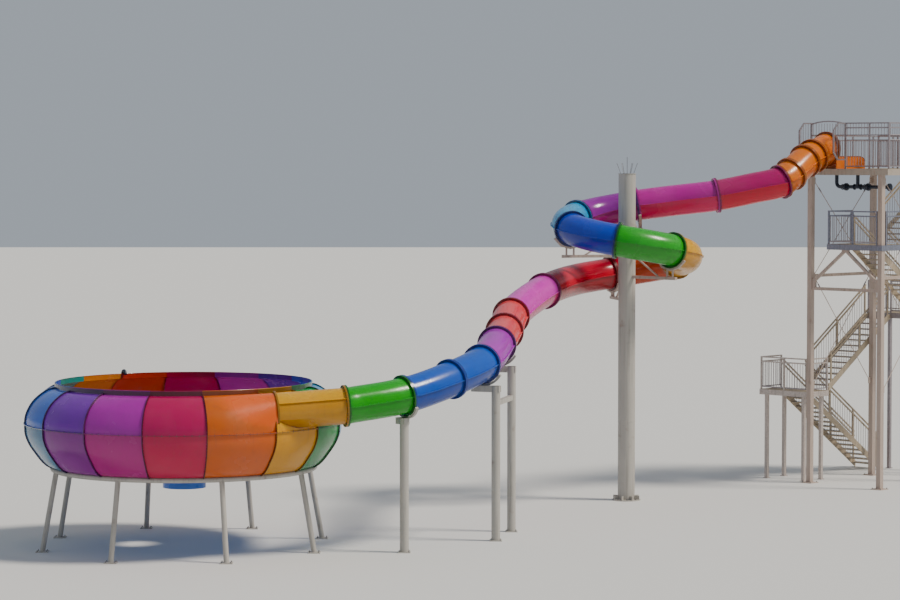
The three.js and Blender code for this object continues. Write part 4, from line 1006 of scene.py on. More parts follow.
def keep_outside(piece):
    """Deletes the islands whose middle is under the opening."""
    work = bmesh.new()
    work.from_mesh(piece.data)
    left = set(work.verts)
    while left:
        island, edge = set(), [left.pop()]
        while edge:
            vert = edge.pop()
            island.add(vert)
            for other in (e.other_vert(vert) for e in vert.link_edges):
                if other in left:
                    left.discard(other)
                    edge.append(other)
        if from_axis(sum((v.co for v in island), Vector()) / len(island)) < LIP_LINE[0][0]:
            bmesh.ops.delete(work, geom=list(island), context="VERTS")
    work.to_mesh(piece.data)
    work.free()


def bowl_room(name, depth):
    """The bowl's inside as a solid, from a depth in its wall and up through the opening."""
    wall = inside_of(upper_section, depth) + inside_of(lower_section, depth)
    corners = [(p.x, p.y) for p in wall]
    corners += [(ROOM_AXIS, ROOM_LOW), (ROOM_AXIS, ROOM_TOP), (wall[0].x, ROOM_TOP)]
    run = arc_run(0, ROOM_TURN, PATH_RADIUS, PATH_LEVEL, ROOM_STEPS)
    return sweep(name, [run], section_outline(name, corners), None)


def skin_round(name, points, finish):
    """The tightest closed skin round a cloud of points."""
    work = bmesh.new()
    for point in points:
        work.verts.new(point)
    bmesh.ops.convex_hull(work, input=list(work.verts))
    loose = [v for v in work.verts if not v.link_faces]
    bmesh.ops.delete(work, geom=loose, context="VERTS")
    mesh = bpy.data.meshes.new(name)
    work.to_mesh(mesh)
    work.free()
    mesh.materials.append(finish)
    clean(mesh)
    return new_object(name, mesh)


room, half_wall = bowl_room("bowl room", BOWL_WALL), bowl_room("half wall", BOWL_WALL / 2)
passage_run, bore_run = entry_line(*PASSAGE_ENDS), entry_line(*BORE_ENDS)
passage = sweep("passage", [passage_run], circle_of(TUBE + PASSAGE_GAP, 48), None)
bore = sweep("bore", [bore_run], circle_of(TUBE - SHELL, 48), None)
print("the passage has", len(passage.data.polygons), "faces")

# %% Shape the fairing
FAIRING_SKIN, FAIRING_CLEAR, FAIRING_STEPS = 0.004, 0.3, 10
mouth = entry["point"] + entry["ahead"] * (ENTRY_FLANGE + SEAM)
mouth_side = entry["ahead"].cross(entry["rise"])
cloud = [
    mouth + (entry["rise"] * math.cos(t) + mouth_side * math.sin(t)) * TUBE for t in turns_of(48)
]
outside = inside_of(upper_section, -FAIRING_SKIN)[2:]
sector_turn = SEAMS[1] - SEAMS[0] - 2 * FAIRING_CLEAR
for i in range(FAIRING_STEPS + 1):
    angle = SEAMS[0] + FAIRING_CLEAR + sector_turn * i / FAIRING_STEPS
    cloud += [bowl_point(angle, p.x, p.y) for p in outside]
fairing = skin_round("fairing", cloud, sectors[0][0].data.materials[0])
cut(fairing, half_wall)
cut(fairing, bore)
clean(fairing.data)
sectors[0].append(fairing)
print("the fairing has", len(fairing.data.polygons), "faces")

# %% Cut the tube and the panels
CROWN_RING_IN, CROWN_RING_LONG, CROWN_RING_TALL = 0.012, 0.05, 0.06
yellow_run = entry_line(SEAM, ENTRY_FLANGE)
parts = [
    sweep("upper", [yellow_run], upper_outline, shells["yellow"][0]),
    sweep("lower", [yellow_run], lower_outline, shells["yellow"][1]),
]
crown_ring = ring_run(entry, FLANGE_MIDDLE - CROWN_RING_IN, ENTRY_FLANGE)
crown_outline = rectangle_of(CROWN_RING_LONG, CROWN_RING_TALL)
parts.append(sweep("crown ring", [crown_ring], crown_outline, shells["yellow"][2]))
for part in parts:
    cut(part, room)
    keep_outside(part)
ring = ring_run(entry, FLANGE_MIDDLE, FLANGE_SHIFT)
parts.append(sweep("ring", [ring], flange_outline, shells["yellow"][2]))
settle(join("tube_bowl_entry", parts), "yellow", "flume_bowl_entry")

CUT_SECTORS = 3
for i, (parts, (_, _, _, slot)) in enumerate(zip(sectors, SECTOR_COLOURS)):
    if i < CUT_SECTORS:
        for part in parts[:3]:
            cut(part, passage)
    sector = join(f"bowl_sector_{i + 1:02d}", parts)
    clean(sector.data)
    settle(sector, slot, f"bowl_wall_{i // 2 + 1}")
for tool in (room, half_wall, passage, bore):
    bpy.data.objects.remove(tool)

# %% [markdown]
# ## Bead and bolts of the bowl
# A bead of sealant fills the joint at the widest place, dark from years of dirt, but still white
# on one sector that was done again. Bolts sit in the ribs and in that joint. Where the tube comes
# through there are none.

# %% Bead of sealant
OLD_BEAD, NEW_BEAD, OLD_BEAD_RADIUS, NEW_BEAD_RADIUS = 0.007, 0.009, 4.441, 4.442
new_sealant = gel_coat("new sealant", "#DCE0E2", chalk=0.05, dirt=0.3)
old_sealant = gel_coat("old sealant", "#30343C", chalk=0.05, dirt=0.5)


def circle_run(radius, level):
    """A whole circle about the bowl's axis."""
    angles = [360 * i / 128 for i in range(128)]
    return {"points": [bowl_point(a, radius, level) for a in angles], "rise": UP, "closed": True}


old_ring = circle_run(OLD_BEAD_RADIUS, JOINT_LEVEL)
new_arc = arc_run(SEAMS[12], SEAMS[13], NEW_BEAD_RADIUS, JOINT_LEVEL, 12)
parts = [
    sweep("old bead", [old_ring], circle_of(OLD_BEAD, 8), old_sealant),
    sweep("new bead", [new_arc], circle_of(NEW_BEAD, 8), new_sealant),
]
settle(join("bowl_equator_bead", parts), "light_blue")


# %% Bolts of the bowl
BOWL_BOLT, RIB_PITCH, JOINT_PITCH, JOINT_BOLTS, BOLT_CLEAR = 0.011, 0.16, 0.2, 4.424, 0.05


def beside_tube(point):
    """Whether a point is clear of the tube that comes through the wall."""
    offset = point - entry["point"]
    return (offset - entry["ahead"] * offset.dot(entry["ahead"])).length > TUBE + BOLT_CLEAR


runs = []
for i in range(16):
    run = rib_run(SEAMS[i], 0.0)
    stretches, last_free = [], False
    for point in run["points"]:
        free = beside_tube(point)
        if free and last_free:
            stretches[-1].append(point)
        elif free:
            stretches.append([point])
        last_free = free
    for points in stretches:
        if len(points) > 1:
            runs.append(stand(points, run["rise"], UP, (BOWL_BOLT, BOWL_BOLT, BOWL_BOLT)))
rib_bolts = row("bowl_rib_bolts", runs, lip_bolt, RIB_PITCH, dark_bolt)
settle(rib_bolts, "crimson")
run = circle_run(JOINT_BOLTS, JOINT_LEVEL)
run.update(axis=UP, ahead=Vector((1, 0, 0)), stretch=(BOWL_BOLT, BOWL_BOLT, BOWL_BOLT * 1.5))
equator_bolts = row("bowl_equator_bolts", [run], lip_bolt, JOINT_PITCH, dark_bolt)
settle(equator_bolts, "crimson")

# %% [markdown]
# ## The bowl's floor
# Under the opening the bowl ends in a shallow dish with a short outlet. It is one moulding, so its
# section is swept round a whole closed circle.

# %% Sweep the dish
dish_line = [(3.397, 2.180), (2.7, 2.105), (2.0, 2.050), (1.2, 2.0), (0.63, 1.962), (0.6, 1.93)]
dish_line += [(0.6, 1.63), (0.585, 1.63), (0.585, 1.935), (0.62, 1.976), (1.2, 2.014)]
dish_line += [(2.0, 2.064), (2.7, 2.119), (3.393, 2.194)]
dish_outline = section_outline("dish", dish_line)
dish_coat = gel_coat("bowl floor", "#1C6CC4")
dish = sweep("bowl_dish", [circle_run(PATH_RADIUS, PATH_LEVEL)], dish_outline, dish_coat)
settle(dish, "blue", "bowl_floor")

# %% [markdown]
# ## The bowl's frame
# A ring of round tube carries the panels, on eight raking legs with foot plates. The legs lean
# outwards to their feet. Tubes and plates are sweeps: a circle along a line, and a square up a
# short vertical one. Four anchor bolts hold each plate.

# %% Ring, legs and plates
RING_RADIUS, RING_LEVEL, RING_TUBE = 3.65, 2.2044, 0.068
LEG_TUBE, LEG_FOOT, LEG_TOP, LEG_END = 0.074, 4.05, 0.025, 0.016
PLATE, PLATE_THICK, ANCHOR, ANCHOR_REACH = 0.34, 0.025, 0.018, 0.125
leg_angles = [-69 + 45 * i for i in range(8)]
feet = [bowl_point(a, LEG_FOOT, 0) for a in leg_angles]
leg_lines = [
    line(bowl_point(a, RING_RADIUS, RING_LEVEL - LEG_TOP), foot + UP * LEG_END, (0, 1, 0))
    for a, foot in zip(leg_angles, feet)
]


def foot_plates(feet):
    """Square plates swept up from the feet."""
    runs = [line(foot, foot + UP * PLATE_THICK, (1, 0, 0)) for foot in feet]
    return sweep("plates", runs, rectangle_of(PLATE, PLATE), column_paint)


def anchors_on(feet, reach=ANCHOR_REACH, turn=0.0):
    """Two lines of two anchor bolts on each plate, which is turned by an angle in degrees."""
    side = level_way(math.radians(turn))
    across = UP.cross(side)
    runs = []
    for foot in feet:
        for way in (-1, 1):
            middle = foot + side * (way * reach) + UP * PLATE_THICK
            ends = [middle - across * reach, middle + across * reach]
            runs.append(stand(ends, UP, side, (ANCHOR, ANCHOR, ANCHOR)))
    return row("anchors", runs, anchor_bolt, 2 * reach, bolt_zinc)


anchor_bolt = turned_copy("anchor bolt", 6, [(1, 0), (1, 1), (0.55, 1), (0.55, 2.1)])
parts = [
    sweep("ring", [circle_run(RING_RADIUS, RING_LEVEL)], circle_of(RING_TUBE, 20), column_paint),
    sweep("legs", leg_lines, circle_of(LEG_TUBE, 24), column_paint),
    foot_plates(feet),
    anchors_on(feet),
]
settle(join("bowl_frame", parts), "column_paint", "bowl_frame_near", "bowl_frame_far")

# %% [markdown]
# ## A nozzle on the bowl's rim
# On the far side a short dark pipe hooks over the rim. It is a water nozzle that keeps the wall
# wet. A tube swept along a hook of five points, made smooth, says enough at its size.

# %% Bend the nozzle
NOZZLE_ANGLE, NOZZLE_TUBE = 214, 0.045
HOOK = [(3.66, 4.46), (3.655, 4.60), (3.60, 4.67), (3.52, 4.67), (3.45, 4.58)]
hook_points = smooth([bowl_point(NOZZLE_ANGLE, r, z) for r, z in HOOK])
hook_run = {"points": hook_points, "rise": level_way(math.radians(NOZZLE_ANGLE))}
nozzle = sweep("bowl_nozzle", [hook_run], circle_of(NOZZLE_TUBE, 16), navy_paint)
settle(nozzle, "pipe_navy")

# %% [markdown]
# ## The column
# The helix hangs on one thick tube, rolled from plate in lengths of about 2.5 m, so weld beads go
# round it. It stands on a round base plate with ribs between anchor bolts, and thin spikes on its
# cap keep birds off.

# %% Sweep the column
COLUMN, COLUMN_TOP, CAP, CAP_THICK = 0.270, 10.320, 0.284, 0.015
SPIKE, SPIKE_TALL, SPIKE_REACH, SPIKE_FOOT, SPIKE_SINK = 0.008, 0.515, 0.325, 0.2, 0.01
BASE, BASE_THICK, BASE_RIBS, RIB_LEVEL = 0.450, 0.03, 8, 0.09
BASE_RIB_IN, BASE_RIB_OUT, BASE_RIB_TALL, BASE_RIB_THICK = 0.262, 0.435, 0.12, 0.012
BASE_BOLT, BASE_BOLTS, BASE_PITCH = 0.022, 0.385, 2.419 / 8
WELD_LEVELS, WELD_BEAD = (2.5, 5.0, 7.5), 0.006


def upright(low, high):
    return line((0, 0, low), (0, 0, high), (1, 0, 0))


def level_ring(radius, level):
    """A circle about the column."""
    points = [(radius * math.cos(t), radius * math.sin(t), level) for t in turns_of(48)]
    return {"points": points, "rise": UP, "closed": True}


spikes = [upright(COLUMN_TOP, COLUMN_TOP + SPIKE_TALL)]
for turn in turns_of(6):
    ray = level_way(turn)
    foot = ray * SPIKE_FOOT + UP * (COLUMN_TOP - SPIKE_SINK)
    head = ray * SPIKE_REACH + UP * (COLUMN_TOP + SPIKE_REACH)
    spikes.append(line(foot, head, UP.cross(ray)))
base_ribs = []
for i in range(BASE_RIBS):
    ray = level_way(2 * math.pi * (i + 0.5) / BASE_RIBS)
    ends = (ray * reach + UP * RIB_LEVEL for reach in (BASE_RIB_IN, BASE_RIB_OUT))
    base_ribs.append(line(*ends))
anchors = level_ring(BASE_BOLTS, BASE_THICK)
anchors.update(axis=UP, ahead=Vector((1, 0, 0)), stretch=(BASE_BOLT, BASE_BOLT, BASE_BOLT))
welds = [level_ring(COLUMN, level) for level in WELD_LEVELS]
cap = upright(COLUMN_TOP - CAP_THICK, COLUMN_TOP)
parts = [
    sweep("tube", [upright(BASE_THICK / 2, COLUMN_TOP)], circle_of(COLUMN, 56), column_paint),
    sweep("base", [upright(0, BASE_THICK)], circle_of(BASE, 48), column_paint),
    sweep("cap", [cap], circle_of(CAP, 48), column_paint),
    sweep("welds", welds, circle_of(WELD_BEAD, 6), column_paint),
    sweep("ribs", base_ribs, rectangle_of(BASE_RIB_TALL, BASE_RIB_THICK), column_paint),
    sweep("spikes", spikes, circle_of(SPIKE, 6), bolt_zinc),
    row("anchors", [anchors], anchor_bolt, BASE_PITCH, bolt_zinc),
]
settle(join("column_tube", parts), "column_paint", "column")

# %% [markdown]
# ## Posts under the lower flume
# Below the column the flume lies in saddles on round posts: two posts tied together, and one near
# the bowl. A saddle is a curved plate as wide as the two flanges it holds, welded on a head beam of
# box section. The places follow the flume's joints, a set distance below them.

# %% Build the posts
HEAD_DROP, HEAD_BEAM, HEAD_REACH = 0.705, 0.178, 0.29
POST_TUBE, POST_START, TIE_LEVEL, TIE_BEAM = 0.124, 0.012, 3.9, 0.138
SADDLE_RADIUS, SADDLE_THICK, SADDLE_WIDE = 0.6165, 0.066, 0.084


def saddle_run(place):
    """The bottom third of a circle round the tube."""
    turns = [math.radians(210 + 120 * i / 20) for i in range(21)]
    points = [place["point"] + spoke(place, turn) * SADDLE_RADIUS for turn in turns]
    return {"points": points, "rise": place["ahead"]}


def post_parts(joint, offset):
    """The runs of one post: its tube, head beam, saddle and foot."""
    place = frame_at(lower_where(joint))
    side = Vector((place["right"].x, place["right"].y, 0)).normalized()
    under = Vector((place["point"].x, place["point"].y, place["point"].z - HEAD_DROP))
    foot = under - side * offset
    foot.z = 0
    head = foot + UP * (under.z + HEAD_BEAM / 2)
    tube = line(foot + UP * POST_START, head, (1, 0, 0))
    beam = line(under - side * (offset + POST_TUBE), under + side * HEAD_REACH)
    return tube, beam, saddle_run(place), foot


def build_posts(name, joints, offset, node):
    """The posts under some joints, offset sideways from the flume, tied if they are two."""
    tubes, beams, saddles, feet = zip(*(post_parts(joint, offset) for joint in joints))
    parts = [
        sweep("tubes", tubes, circle_of(POST_TUBE, 32), column_paint),
        sweep("beams", beams, rectangle_of(HEAD_BEAM, HEAD_BEAM), column_paint),
        sweep("saddles", saddles, rectangle_of(SADDLE_WIDE, SADDLE_THICK), column_paint),
        foot_plates(feet),
        anchors_on(feet),
    ]
    if len(feet) == 2:
        tie = line(feet[0] + UP * TIE_LEVEL, feet[1] + UP * TIE_LEVEL)
        parts.append(sweep("tie", [tie], rectangle_of(TIE_BEAM, TIE_BEAM), column_paint))
    settle(join(name, parts), "column_paint", node)


build_posts("twin_post", (3, 4), 0.43, "twin_pylon")
build_posts("single_post", (6,), 0.0, "single_pylon")

# %% [markdown]
# ## Painted steel that keeps its CAD shape
# Box sections, plates, treads and rails already have the right flat faces in the CAD solids. They
# stay, and get paint or zinc through their material slots. Nothing in their meshes changes.

# %% Dress the CAD nodes
DRESS = {
    tower_paint: [f"column_arm_{i}" for i in range(1, 5)]
    + ["front_brace", "side_brace_left", "side_brace_right"]
    + [f"tower_post_{end}_{side}" for end in ("near", "far") for side in ("left", "right")],
    deck_paint: ["deck"],
    rail_zinc: ["right_landing", "deck_guard"],
    # The low landing's zinc colour is painted sunlight, the middle landing's painted shade.
    sunlit_zinc: ["low_landing"],
    grip_and_shaded_zinc: ["middle_landing"],
    tread_paint: [f"stair_flight_{i}" for i in range(1, 5)],
}
for finish, names in DRESS.items():
    for name in names:
        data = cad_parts[name].data
        data.materials.clear()
        data.materials.append(finish)
    print(finish.name, "on", len(names), "nodes")

# %% [markdown]
# ## The tower's own axes
# The tower is turned 45 degrees to the ride, so its pieces are placed in its own axes: u runs to
# the right and near, v to the right and away. One function turns them into the shared frame.

# %% Tower axes and levels
TOWER = Vector((6.4, 5.0, 0))
TURN = math.radians(-45)
ALONG_U = Vector((math.cos(TURN), math.sin(TURN), 0))
ALONG_V = Vector((-math.sin(TURN), math.cos(TURN), 0))
RISER, GOING = 0.177, 0.26
LOW, RIGHT, MIDDLE, DECK = 17 * RISER, 31 * RISER, 45 * RISER, 59 * RISER
NEAR_EDGE, FAR_EDGE = 1.2, 4.58
BAY_U, BAY_V = 2.88, 3.39
GUARD, TALL_GUARD = 1.11, 1.52


def tower(u, v, z):
    return TOWER + ALONG_U * u + ALONG_V * v + UP * z


print("levels", [round(level, 3) for level in (LOW, RIGHT, MIDDLE, DECK)])

# %% [markdown]
# ## Upright bars of the guards
# A guard beside a drop is filled with thin upright bars, about 11 cm apart, too close to slip
# through. They stand between a kick rail and the second rail. The deck's near sides have a second
# panel of bars above that, up to the tall rail, over the tube too. Two thin rails carry it, and
# over the tube there is only the upper one. The row tree stretches one six-sided bar to each
# height, and on the cut-off corners of the side panels the height changes along the path.

# %% Lines of the guards
# Each row is a floor and the (u, v) corners of its guard.
GUARDS = [
    (LOW, (-2.155, 1.155), (-2.155, 0.095), (-0.195, 0.095), (-0.195, 1.155)),
    (RIGHT, (-1.105, 4.625), (-1.105, 5.665), (1.715, 5.665), (1.715, 4.625)),
    (RIGHT, (-0.15, 4.625), (0.75, 4.625)),
    (MIDDLE, (0.785, 1.155), (0.785, -0.06), (2.74, -0.06)),
    (MIDDLE, (2.94, 0.20), (2.94, 1.155)),
    (DECK, (0.0, 0.0), (0.0, 5.61), (3.17, 5.61)),
    (DECK, (3.17, 5.61), (3.17, 0.0), (1.41, 0.0)),
    (DECK, (3.17, 1.405), (1.695, 1.405), (1.695, 4.58)),
]
TALL_CORNERS = [(3.17, 5.61), (3.17, 0.0), (1.41, 0.0), (0.0, 0.0)]


def legs_of(level, corners):
    """The straight legs of a guard line, each as its two ends."""
    ends = [tower(u, v, level) for u, v in corners]
    return list(zip(ends, ends[1:]))


print(sum(len(corners) - 1 for _, *corners in GUARDS), "straight legs")

# %% Bars and rails
BAR, BAR_PITCH, BAR_END, KICK, KICK_TALL, KICK_THICK = 0.009, 0.112, 0.08, 0.09, 0.04, 0.014
UNDER_RAIL, TALL_RAIL, RAIL_GAP, THIN_RAIL = 0.172, 0.03, 0.004, 0.018
THIN_DROP = UP * (UNDER_RAIL - 0.01)
SIDE_PANELS = (0.0, 1.41)
SIDE_CORNERS = [(-0.06, 0.33, 1.16), (-0.41, 0.33, 1.16), (-0.60, 0.52, 0.78)]


def bars_between(low, high, tall):
    """Bars of one height between two ends, clear of both."""
    way = (high - low).normalized()
    return stand([low + way * BAR_END, high - way * BAR_END], UP, way, (BAR, BAR, tall))


bar_runs, kick_runs, rail_runs = [], [], []
for level, *corners in GUARDS:
    for low, high in legs_of(level + KICK, corners):
        bar_runs.append(bars_between(low, high, GUARD - UNDER_RAIL - KICK))
        kick_runs.append(line(low, high))
for low, high in legs_of(DECK + GUARD, TALL_CORNERS):
    bar_runs.append(bars_between(low, high, TALL_GUARD - TALL_RAIL - GUARD))
    gap = (high - low).normalized() * RAIL_GAP
    rail_runs.append(line(low + gap, high - gap))
rail_runs += [line(*(p - THIN_DROP for p in run["points"])) for run in rail_runs[:-1]]
for u in SIDE_PANELS:
    points = [tower(u, v, DECK + low) for v, low, _ in SIDE_CORNERS]
    stretches = [(BAR, BAR, tall) for _, _, tall in SIDE_CORNERS]
    bar_runs.append(stand(points, UP, ALONG_V, stretches))
guard_bars = row("guard_bars", bar_runs, bar_copy, BAR_PITCH, rail_zinc)
settle(guard_bars, "rail_zinc")
kick_outline = rectangle_of(KICK_TALL, KICK_THICK)
kick_rails = sweep("guard_kick_rails", kick_runs, kick_outline, rail_zinc)
settle(kick_rails, "rail_zinc")
middle_rails = sweep("guard_middle_rails", rail_runs, circle_of(THIN_RAIL, 10), rail_zinc)
settle(middle_rails, "rail_zinc")

# %% [markdown]
# ## Bars, nosings and bolts of the stairs
# Both sides of each flight have upright bars that follow the slope, one on each half tread.
# Every tread has a nosing and two grip strips across it. They repeat from step to step, so the
# path is the line of nosings and the pitch is the length of one step along the slope.

# %% Flights
SLOPE_STEP = math.hypot(RISER, GOING)
# Each row is the flight's two sides, the level of its foot, its risers and which way it climbs.
FLIGHTS = [
    ((-2.20, -1.20), 0.0, 17, -1),
    ((-1.15, -0.15), LOW, 14, 1),
    ((0.75, 1.72), RIGHT, 14, -1),
    ((1.78, 2.75), MIDDLE, 14, 1),
]


def nose(flight, step, u, out, up):
    """The place of a tread's front edge, moved back by out and up by up."""
    _, foot, risers, way = flight
    run = (risers - 1) * GOING
    start = FAR_EDGE - run if way > 0 else NEAR_EDGE + run
    return tower(u, start + way * (step * GOING + out), foot + (step + 1) * RISER + up)


# Each strip's place behind the nose and its width: the nosing, then two grip strips.
STRIPS = [(0.018, 0.03), (0.09, 0.012), (0.16, 0.012)]
STRIP_THICK, STRIP_INSET, STRIP_LIFT = 0.008, 0.03, 0.001
STAIR_BAR, STAIR_BAR_TALL, BAR_INSET, BAR_LIFT = 0.008, 0.8, 0.02, 0.03
strip_runs, stair_bars = [], []
for flight in FLIGHTS:
    (left, right), _, risers, _ = flight
    middle, wide = (left + right) / 2, right - left - 2 * STRIP_INSET
    last = risers - 2
    for out, strip in STRIPS:
        points = [nose(flight, step, middle, out, STRIP_LIFT) for step in (0, last)]
        strip_runs.append(stand(points, UP, ALONG_U, (wide, strip, STRIP_THICK)))
    for u in (left + BAR_INSET, right - BAR_INSET):
        points = [nose(flight, step, u, 0.0, BAR_LIFT) for step in (0.7, last + 0.3)]
        stair_bars.append(stand(points, UP, ALONG_V, (STAIR_BAR, STAIR_BAR, STAIR_BAR_TALL)))
SQUARE = ((-0.5, -0.5), (0.5, -0.5), (0.5, 0.5), (-0.5, 0.5))
unit_box = helper(
    "unit box",
    [(x, y, z) for z in (-0.5, 0.5) for x, y in SQUARE],
    [],
    [(3, 2, 1, 0), (4, 5, 6, 7), (0, 1, 5, 4), (1, 2, 6, 5), (2, 3, 7, 6), (3, 0, 4, 7)],
)
nosings = row("stair_grip_strips", strip_runs, unit_box, SLOPE_STEP, grip_and_shaded_zinc)
settle(nosings, "tread_paint")
flight_bars = row("stair_bars", stair_bars, bar_copy, SLOPE_STEP / 2, rail_zinc)
settle(flight_bars, "rail_zinc")

# %% [markdown]
# ## Boards of the deck and landings
# The deck and landings are laid with grooved boards, 14 cm wide with a 6 mm gap that drains the
# water. A board is a stretched box, and the row tree lays them side by side.

# %% Lay the boards
BOARD_PITCH, BOARD_WIDE, BOARD_THICK = 0.146, 0.140, 0.006
# Each row is a floor, then where its boards start and end along u and along v.
FIELDS = [
    (DECK, -0.115, 1.655, -0.115, 5.695),
    (DECK, 1.665, 3.21, -0.115, 1.365),
    (DECK, 1.665, 3.21, 4.665, 5.695),
    (DECK, 2.865, 3.21, 1.37, 4.66),
    (LOW, -2.195, -0.155, 0.055, 1.195),
    (RIGHT, -1.145, 1.755, 4.585, 5.705),
    (MIDDLE, 0.745, 2.785, -0.10, 1.195),
]
board_runs = []
for level, u0, u1, v0, v1 in FIELDS:
    middle, top = (u0 + u1) / 2, level + BOARD_THICK / 2
    points = [tower(middle, v, top) for v in (v0 + BOARD_WIDE / 2, v1 - BOARD_WIDE / 2)]
    board_runs.append(stand(points, UP, ALONG_V, (BOARD_WIDE, u1 - u0, BOARD_THICK)))
boards = row("deck_boards", board_runs, unit_box, BOARD_PITCH, decking)
settle(boards, "tread_paint")

# %% [markdown]
# ## Anchors and turnbuckles
# The tower's square posts stand on plates with four anchors. Its crossed rods are pulled tight by
# turnbuckles, short open sleeves that show as thick places on a thin rod. They are short sweeps
# of a hexagon along the rod.

# %% Anchors and turnbuckles
POST_REACH, FACE, ROD_INSET = 0.165, 0.0853, 0.065
PANELS = ((10.05, 6.9), (6.9, 3.25))
SLEEVE, HALF_SLEEVE, SLEEVE_SHARE = 0.024, 0.1, 0.1
post_feet = [tower(u, v, 0) for u in (0, BAY_U) for v in (0, BAY_V)]
ends = (FACE + ROD_INSET, BAY_V - FACE - ROD_INSET)
sleeves = []
for u in (0.0, BAY_U):
    for top, low in PANELS:
        for v0, v1 in (ends, ends[::-1]):
            start, end = tower(u, v0, top), tower(u, v1, low)
            half = (end - start).normalized() * HALF_SLEEVE
            middle = start.lerp(end, SLEEVE_SHARE)
            sleeves.append(line(middle - half, middle + half, ALONG_U))
parts = [
    anchors_on(post_feet, POST_REACH, math.degrees(TURN)),
    sweep("sleeves", sleeves, circle_of(SLEEVE, 6), rail_zinc),
]
settle(join("tower_hardware", parts), "tower_paint")

# %% [markdown]
# ## Water pipes under the deck
# A navy manifold hangs below the deck and feeds the start with water. Its bends are smooth, since
# they are long-radius elbows. Two valves each have a thick body between two flanges and a hand
# wheel towards the front, and a third has the body alone. Pipes are circles swept along lines, with
# the elbow's corner rounded.

# %% Pipes and valves
PIPE, PIPE_V, PIPE_LEVEL, DECK_UNDER = 0.060, 0.6, 9.850, 10.402
FEED_U, BRANCH_U, PIPE_END_U, BEND, BEND_STEPS = 0.593, 1.461, 2.80, 0.14, 6
VALVES, VALVE_BODY, VALVE_FLANGE = (0.987, 1.890, 2.755), 0.124, 0.100
HALF_BODY, HALF_FLANGE, VALVE_SHIFT = 0.03, 0.011, 0.06
HALF_CLAMP, BRANCH_SHIFT = 0.010, 0.13
WHEEL, WHEEL_RIM, WHEEL_OUT, STEM, STEM_OUT = 0.085, 0.011, 0.19, 0.012, 0.2
elbow = [(FEED_U, DECK_UNDER), (FEED_U, PIPE_LEVEL + BEND)]
for i in range(1, BEND_STEPS):
    turn = math.pi / 2 * i / BEND_STEPS
    elbow.append((FEED_U + BEND * (1 - math.cos(turn)), PIPE_LEVEL + BEND * (1 - math.sin(turn))))
elbow += [(FEED_U + BEND, PIPE_LEVEL), (PIPE_END_U, PIPE_LEVEL)]
main_run = {"points": [tower(u, PIPE_V, z) for u, z in elbow], "rise": ALONG_V}
branch = [tower(BRANCH_U, PIPE_V, level) for level in (PIPE_LEVEL, DECK_UNDER)]
branch_run = line(*branch, ALONG_V)


def disc_run(u, half):
    """A short way along the pipe, for a disc round it."""
    return line(tower(u - half, PIPE_V, PIPE_LEVEL), tower(u + half, PIPE_V, PIPE_LEVEL), ALONG_V)


bodies = [disc_run(u, HALF_BODY) for u in VALVES]
pairs = [disc_run(u + way * VALVE_SHIFT, HALF_FLANGE) for u in VALVES[:2] for way in (-1, 1)]
pairs += [disc_run(BRANCH_U + way * BRANCH_SHIFT, HALF_CLAMP) for way in (-1, 1)]
stems, wheels = [], []
for u in VALVES[:2]:
    centre = tower(u, PIPE_V, PIPE_LEVEL)
    stems.append(line(centre, centre - ALONG_V * STEM_OUT, UP))
    hub = centre - ALONG_V * WHEEL_OUT
    rim = [hub + (ALONG_U * math.cos(t) + UP * math.sin(t)) * WHEEL for t in turns_of(24)]
    wheels.append({"points": rim, "rise": ALONG_V, "closed": True})
    stems += [line(hub - ray * WHEEL, hub + ray * WHEEL, ALONG_V) for ray in (ALONG_U, UP)]
parts = [
    sweep("pipes", [main_run, branch_run], circle_of(PIPE, 24), navy_paint),
    sweep("bodies", bodies, circle_of(VALVE_BODY, 32), navy_paint),
    sweep("flanges", pairs, circle_of(VALVE_FLANGE, 32), navy_paint),
    sweep("stems", stems, circle_of(STEM, 8), navy_paint),
    sweep("wheels", wheels, circle_of(WHEEL_RIM, 8), navy_paint),
]
settle(join("deck_pipes", parts), "pipe_navy", "water_pipes")

# %% [markdown]
# ## The start trough
# The flume starts in an open half pipe whose side walls end in a rounded corner. Its rim isn't at
# one height, so a plain sweep doesn't fit: each station is a loop whose arc is cut where the rim
# is, and the loops are joined into one shell. Skirts close both sides from the rim to the deck. A
# rolled edge follows the rim.

# %% Places in the trough
TROUGH, TROUGH_TOP, TROUGH_END, CORNER = 1.54, -0.25, -0.40, 0.33
start_frame = frame_of(controls[0], -START_AHEAD)


def rim_height(distance):
    """How far below the axis the rim is, at this distance from the joint."""
    past = max(0.0, distance - (TROUGH - CORNER)) / CORNER
    return TROUGH_TOP + (TROUGH_END - TROUGH_TOP) * (1 - math.sqrt(max(0.0, 1 - past**2)))


def trough_place(distance, right, up):
    f = start_frame
    return f["point"] + f["ahead"] * distance + f["right"] * right + f["rise"] * up


def loft(name, loops):
    """A closed shell through loops of (distance, right, up) with as many corners each."""
    size, last = len(loops[0]), len(loops) - 1
    faces = []
    for here in range(0, last * size, size):
        for i in range(size):
            j = (i + 1) % size
            faces.append((here + i, here + j, here + size + j, here + size + i))
    faces += [tuple(k + s * size for k in range(size)) for s in (0, last)]
    mesh = bpy.data.meshes.new(name)
    mesh.from_pydata([tuple(trough_place(*p)) for loop in loops for p in loop], [], faces)
    clean(mesh)
    mesh.materials.append(shells["orange"][0])
    return new_object(name, mesh)


print("the rim drops to", round(rim_height(TROUGH), 3), "m from the axis")

